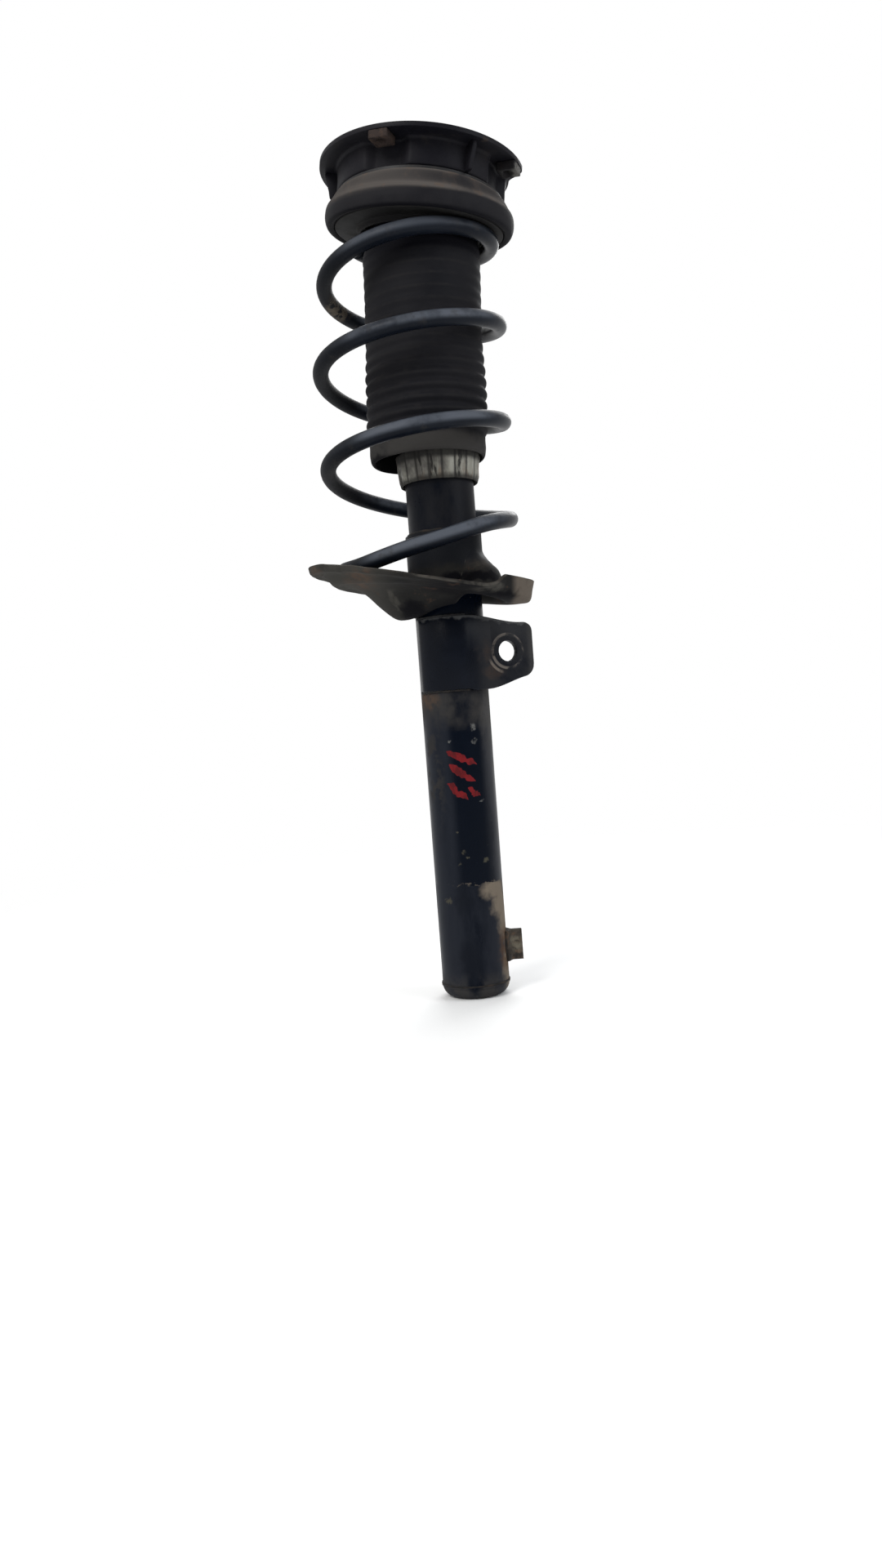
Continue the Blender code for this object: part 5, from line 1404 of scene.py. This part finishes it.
def makeWeldNuts():
    for index, degrees in enumerate(mount["lugs"], 1):
        angle = math.radians(degrees)
        top = mount["underside"] - 0.3
        bottom = top - nuts["height"]
        side = nuts["width"] / 2.0
        wide = nuts["thread"] + 0.4
        place = Matrix.Translation(onCircle(mount["boltCircle"], angle)) @ Matrix.Rotation(angle, 4, "Z")
        square = [(side, side), (-side, side), (-side, -side), (side, -side)]
        nut = plate(f"weldNut{index}", rounded(square, 1.2), bottom, top, place)
        hole = turned("nutBore", [
            (0.0, top + 1.0), (wide, top + 1.0), (wide, top), (nuts["bore"], top - 0.8),
            (nuts["bore"], bottom + 0.8), (wide, bottom), (wide, bottom - 1.0), (0.0, bottom - 1.0)],
            steps=40, radius=0.0, solid=True, place=place)
        cutWith(nut, hole)
        roundEdges(nut, 0.45 * mm, 2, 50.0)
        nut.data.transform(lean)
        settle(nut, "strut_mount", "rusty_steel", [f"weld_nut_{index}"], "nutRustAndPaintedLight")


def makeMountRubber():
    outer = mount["collar"] - 0.3
    reach = math.degrees(math.asin(joint["halfSocket"] / joint["socket"]))
    ball = arc(0.0, 0.0, joint["socket"], -reach, reach, 12)
    rubber = turned("mountRubber", [
        (26.0, 11.0, 2.0), (31.0, 16.5, 2.5), (36.0, 26.0, 1.0), (outer, 26.0), (outer, 9.0),
        (34.0, 3.0, 2.0), (26.0, -5.0, 2.0), (20.0, -9.5, 1.0), *ball], steps=128, radius=0.6, place=lean)
    settle(rubber, "strut_mount", "black_rubber", ["mount_rubber"])


makeMountShell()
makeMountRibs()
makeWeldNuts()
makeMountRubber()
print("top mount made")


# the piston rod with its joint, washers and nut
rod = {"radius": 11.0, "thread": 6.9, "pitch": 1.5, "turns": 16.0, "threadBottom": 576.0, "top": 602.0,
       "bottom": 317.0, "step": 348.4, "bore": 7.2, "nutCorner": 12.1}


def makeRod():
    stem = rod["thread"] - 0.62
    radius, top, bottom, step = rod["radius"], rod["top"], rod["bottom"], rod["step"]
    made = turned("pistonRod", [
        (0.0, top), (5.6, top, 0.0), (stem, top - 0.9), (stem, 549.0), (radius - 0.6, 548.0),
        (radius, 547.2), (radius, step), (6.0, step), (6.0, bottom), (0.0, bottom)],
        steps=64, radius=0.3, solid=True)
    threaded = grow(made, threadTree, **{
        "Stem Radius": (rod["thread"] - 0.72) * mm, "Pitch": rod["pitch"] * mm, "Turns": rod["turns"],
        "Bottom": rod["threadBottom"] * mm, "Material": finishes["hard_chrome"]})
    settle(threaded, "damper_rod", "hard_chrome", ["piston_rod"])


def makeCoreAndWashers():
    bore = rod["bore"]
    low, high = joint["height"] - joint["halfBall"], joint["height"] + joint["halfBall"]
    reach = math.degrees(math.asin(joint["halfBall"] / joint["ball"]))
    ball = arc(0.0, joint["height"], joint["ball"], reach, -reach, 14)
    core = turned("mountCore", [*ball, (bore, low), (bore, high)], steps=96, radius=0.3)
    settle(core, "damper_rod", "steel", ["mount_core"])
    washer = turned("reboundWasher", [
        (22.0, high + 4.6), (22.0, high + 2.6), (13.0, high + 0.3, 1.5), (bore, high + 0.3),
        (bore, high + 3.3), (13.0, high + 3.3, 1.5)], steps=96, radius=0.45)
    settle(washer, "damper_rod", "steel", ["rebound_washer"])
    stopWasher = turned("stopWasher", [(16.0, low - 0.3), (16.0, 548.8), (bore, 548.8), (bore, low - 0.3)],
                        steps=96, radius=0.4)
    settle(stopWasher, "damper_rod", "steel", ["stop_washer"])


def makeRodNut():
    bore = rod["bore"]
    bottom = joint["height"] + joint["halfBall"] + 3.6
    top = bottom + 11.0
    nut = plate("rodNut", ringOf(rod["nutCorner"], 6), bottom, top)
    chamfer = turned("nutChamfer", [
        (0.0, top + 0.01), (10.6, top + 0.01), (12.3, top - 1.1), (12.3, bottom + 0.9),
        (11.4, bottom - 0.01), (0.0, bottom - 0.01)], steps=96, radius=0.0, solid=True)
    cutWith(nut, chamfer, "INTERSECT")
    wide = bore + 0.9
    hole = turned("nutThread", [
        (0.0, top + 1.0), (wide, top + 1.0), (wide, top), (bore, top - 0.9), (bore, bottom + 0.9),
        (wide, bottom), (wide, bottom - 1.0), (0.0, bottom - 1.0)], steps=48, radius=0.0, solid=True)
    cutWith(nut, hole)
    roundEdges(nut, 0.25 * mm, 2, 40.0)
    settle(nut, "damper_rod", "steel", ["rod_nut"])


# the bump stop: three rings of foam, each with its widest and its narrowest radius
bumpStop = {"top": 547.0, "bottom": 503.0, "bore": 11.3,
            "rings": ((25.0, 21.0), (23.5, 18.5), (21.0, 15.5))}


def makeBumpStop():
    top, bottom, bore = bumpStop["top"], bumpStop["bottom"], bumpStop["bore"]
    profile = [(bore, top), (24.0, top)]
    height = (top - bottom - 3.0) / len(bumpStop["rings"])
    for index, (wide, waist) in enumerate(bumpStop["rings"]):
        start = top - 3.0 - index * height
        profile += [(wide, start, 2.0), (wide, start - 0.5 * height, 3.0),
                    (waist, start - 0.85 * height, 1.5)]
    profile += [(waist, bottom), (bore, bottom)]
    stop = turned("bumpStop", profile, steps=96, radius=1.0, sharp=60.0)
    settle(stop, "damper_rod", "bump_foam", ["bump_stop"])


makeRod()
makeCoreAndWashers()
makeRodNut()
makeBumpStop()
print("rod end made")


# the nodes inside the strut stay as they are and only get their finish
slotOf = {item["node"]: item["material_slot"] for item in frame["record"]["subparts"]}
for name, node in frame["nodes"].items():
    if node.hide_render:
        continue
    node.data.materials.clear()
    node.data.materials.append(finishes[slotOf[name]])
print("inner nodes finished")


# floor, background and the room that gloss shows
stage = {"floor": 0.93, "world": 0.55, "darkSide": (0.64, -0.77, 0.0), "darkSideTone": 0.30,
         "darkSideFull": 0.45, "plainFrom": 0.45, "plainTo": 1.10, "lampAim": 0.33}


def seenPlainly(tree):
    # the path's own node, and 1 for what the camera sees straight or through something clear
    path = addNode(tree, "ShaderNodeLightPath")
    return path, maths(tree, "MAXIMUM", path.outputs["Is Camera Ray"], path.outputs["Is Transmission Ray"])


def makeStage():
    mesh = bpy.data.meshes.new("floor")
    mesh.from_pydata([(-6.0, -4.0, 0.0), (6.0, -4.0, 0.0), (6.0, 9.0, 0.0), (-6.0, 9.0, 0.0)], [],
                     [(0, 1, 2, 3)])
    floor = bpy.data.objects.new("floor", mesh)
    bpy.context.scene.collection.objects.link(floor)
    paint = bpy.data.materials.new("floorPaint")
    paint.use_nodes = True
    tree = paint.node_tree
    shader = tree.nodes["Principled BSDF"]
    place = addNode(tree, "ShaderNodeTexCoord").outputs["Object"]
    cloud = addNode(tree, "ShaderNodeTexNoise", Vector=place, Scale=9.0, Detail=4.0)
    tone = addNode(tree, "ShaderNodeMix", {"data_type": "RGBA"}, Factor=cloud.outputs["Fac"],
                   i6=(stage["floor"], stage["floor"], stage["floor"], 1.0),
                   i7=(stage["floor"] * 0.96, stage["floor"] * 0.97, stage["floor"] * 0.97, 1.0))
    tree.links.new(tone.outputs[2], shader.inputs["Base Color"])
    shader.inputs["Roughness"].default_value = 0.7
    # away from the object the floor turns into the plain white background
    reach = addNode(tree, "ShaderNodeVectorMath", {"operation": "LENGTH"}, i0=place)
    away = addNode(tree, "ShaderNodeMapRange", {"interpolation_type": "SMOOTHSTEP"}, Value=reach.outputs[1])
    away.inputs["From Min"].default_value = stage["plainFrom"]
    away.inputs["From Max"].default_value = stage["plainTo"]
    path, seen = seenPlainly(tree)
    seen = maths(tree, "MAXIMUM", seen, path.outputs["Is Glossy Ray"])
    share = maths(tree, "MULTIPLY", away.outputs[0], seen)
    plain = addNode(tree, "ShaderNodeEmission", Color=(1.0, 1.0, 1.0, 1.0), Strength=1.0)
    mixed = addNode(tree, "ShaderNodeMixShader", Fac=share, i1=shader.outputs[0], i2=plain.outputs[0])
    tree.links.new(mixed.outputs[0], tree.nodes["Material Output"].inputs["Surface"])
    mesh.materials.append(paint)

    world = bpy.data.worlds.new("studio")
    bpy.context.scene.world = world
    world.use_nodes = True
    tree = world.node_tree
    background = tree.nodes["Background"]
    path, seen = seenPlainly(tree)
    # gloss shows the white behind and beside the object, and the darker room in front of it
    toward = addNode(tree, "ShaderNodeTexCoord").outputs["Generated"]
    room = addNode(tree, "ShaderNodeVectorMath", {"operation": "DOT_PRODUCT"}, i0=toward,
                   i1=stage["darkSide"])
    shade = addNode(tree, "ShaderNodeMapRange", {"interpolation_type": "SMOOTHSTEP"},
                    Value=room.outputs["Value"])
    shade.inputs["From Min"].default_value = 0.0
    shade.inputs["From Max"].default_value = stage["darkSideFull"]
    shade.inputs["To Min"].default_value = 1.0
    shade.inputs["To Max"].default_value = stage["darkSideTone"]
    plainly = addNode(tree, "ShaderNodeMix", Factor=seen, i2=stage["world"], i3=1.0)
    strength = addNode(tree, "ShaderNodeMix", Factor=path.outputs["Is Glossy Ray"], i2=plainly.outputs[0],
                       i3=shade.outputs[0])
    background.inputs["Color"].default_value = (1.0, 1.0, 1.0, 1.0)
    tree.links.new(strength.outputs[0], background.inputs["Strength"])


lamps = [
    {"name": "keyLamp", "place": (-0.9, -1.3, 1.5), "size": 1.0, "power": 22.0,
     "colour": (1.0, 0.99, 0.97)},
    {"name": "fillLamp", "place": (1.1, -0.6, 0.9), "size": 0.9, "power": 7.0, "colour": (0.93, 0.96, 1.0)},
    {"name": "backLamp", "place": (0.3, 1.2, 1.3), "size": 1.2, "power": 14.0, "colour": (1.0, 1.0, 1.0)},
]


def makeLamps():
    for lamp in lamps:
        light = bpy.data.lights.new(lamp["name"], "AREA")
        light.shape = "DISK"
        light.size = lamp["size"]
        light.energy = lamp["power"]
        light.color = lamp["colour"]
        holder = bpy.data.objects.new(lamp["name"], light)
        bpy.context.scene.collection.objects.link(holder)
        holder.location = lamp["place"]
        aim = Vector((0.0, 0.0, stage["lampAim"])) - Vector(lamp["place"])
        holder.rotation_euler = aim.to_track_quat("-Z", "Y").to_euler()


view = {"place": (-0.0153, -0.8615, 0.204), "down": 3.0, "roll": 4.3, "lens": 26.625, "sensor": 36.0}


def makeCamera():
    camera = bpy.data.cameras.new("camera")
    camera.sensor_fit = "VERTICAL"
    camera.sensor_height = view["sensor"]
    camera.sensor_width = view["sensor"]
    camera.lens = view["lens"]
    holder = bpy.data.objects.new("camera", camera)
    bpy.context.scene.collection.objects.link(holder)
    down, roll = math.radians(view["down"]), math.radians(view["roll"])
    forward = Vector((0.0, math.cos(down), -math.sin(down)))
    level = Vector((1.0, 0.0, 0.0))
    right = math.cos(roll) * level - math.sin(roll) * level.cross(forward)
    up = right.cross(forward)
    x, y, z = view["place"]
    holder.matrix_world = Matrix(((right.x, up.x, -forward.x, x), (right.y, up.y, -forward.y, y),
                                  (right.z, up.z, -forward.z, z), (0.0, 0.0, 0.0, 1.0)))
    bpy.context.scene.camera = holder


makeStage()
makeLamps()
makeCamera()
bpy.context.scene.view_settings.view_transform = "Standard"
print("stage, lamps and camera made")

bpy.context.view_layer.update()
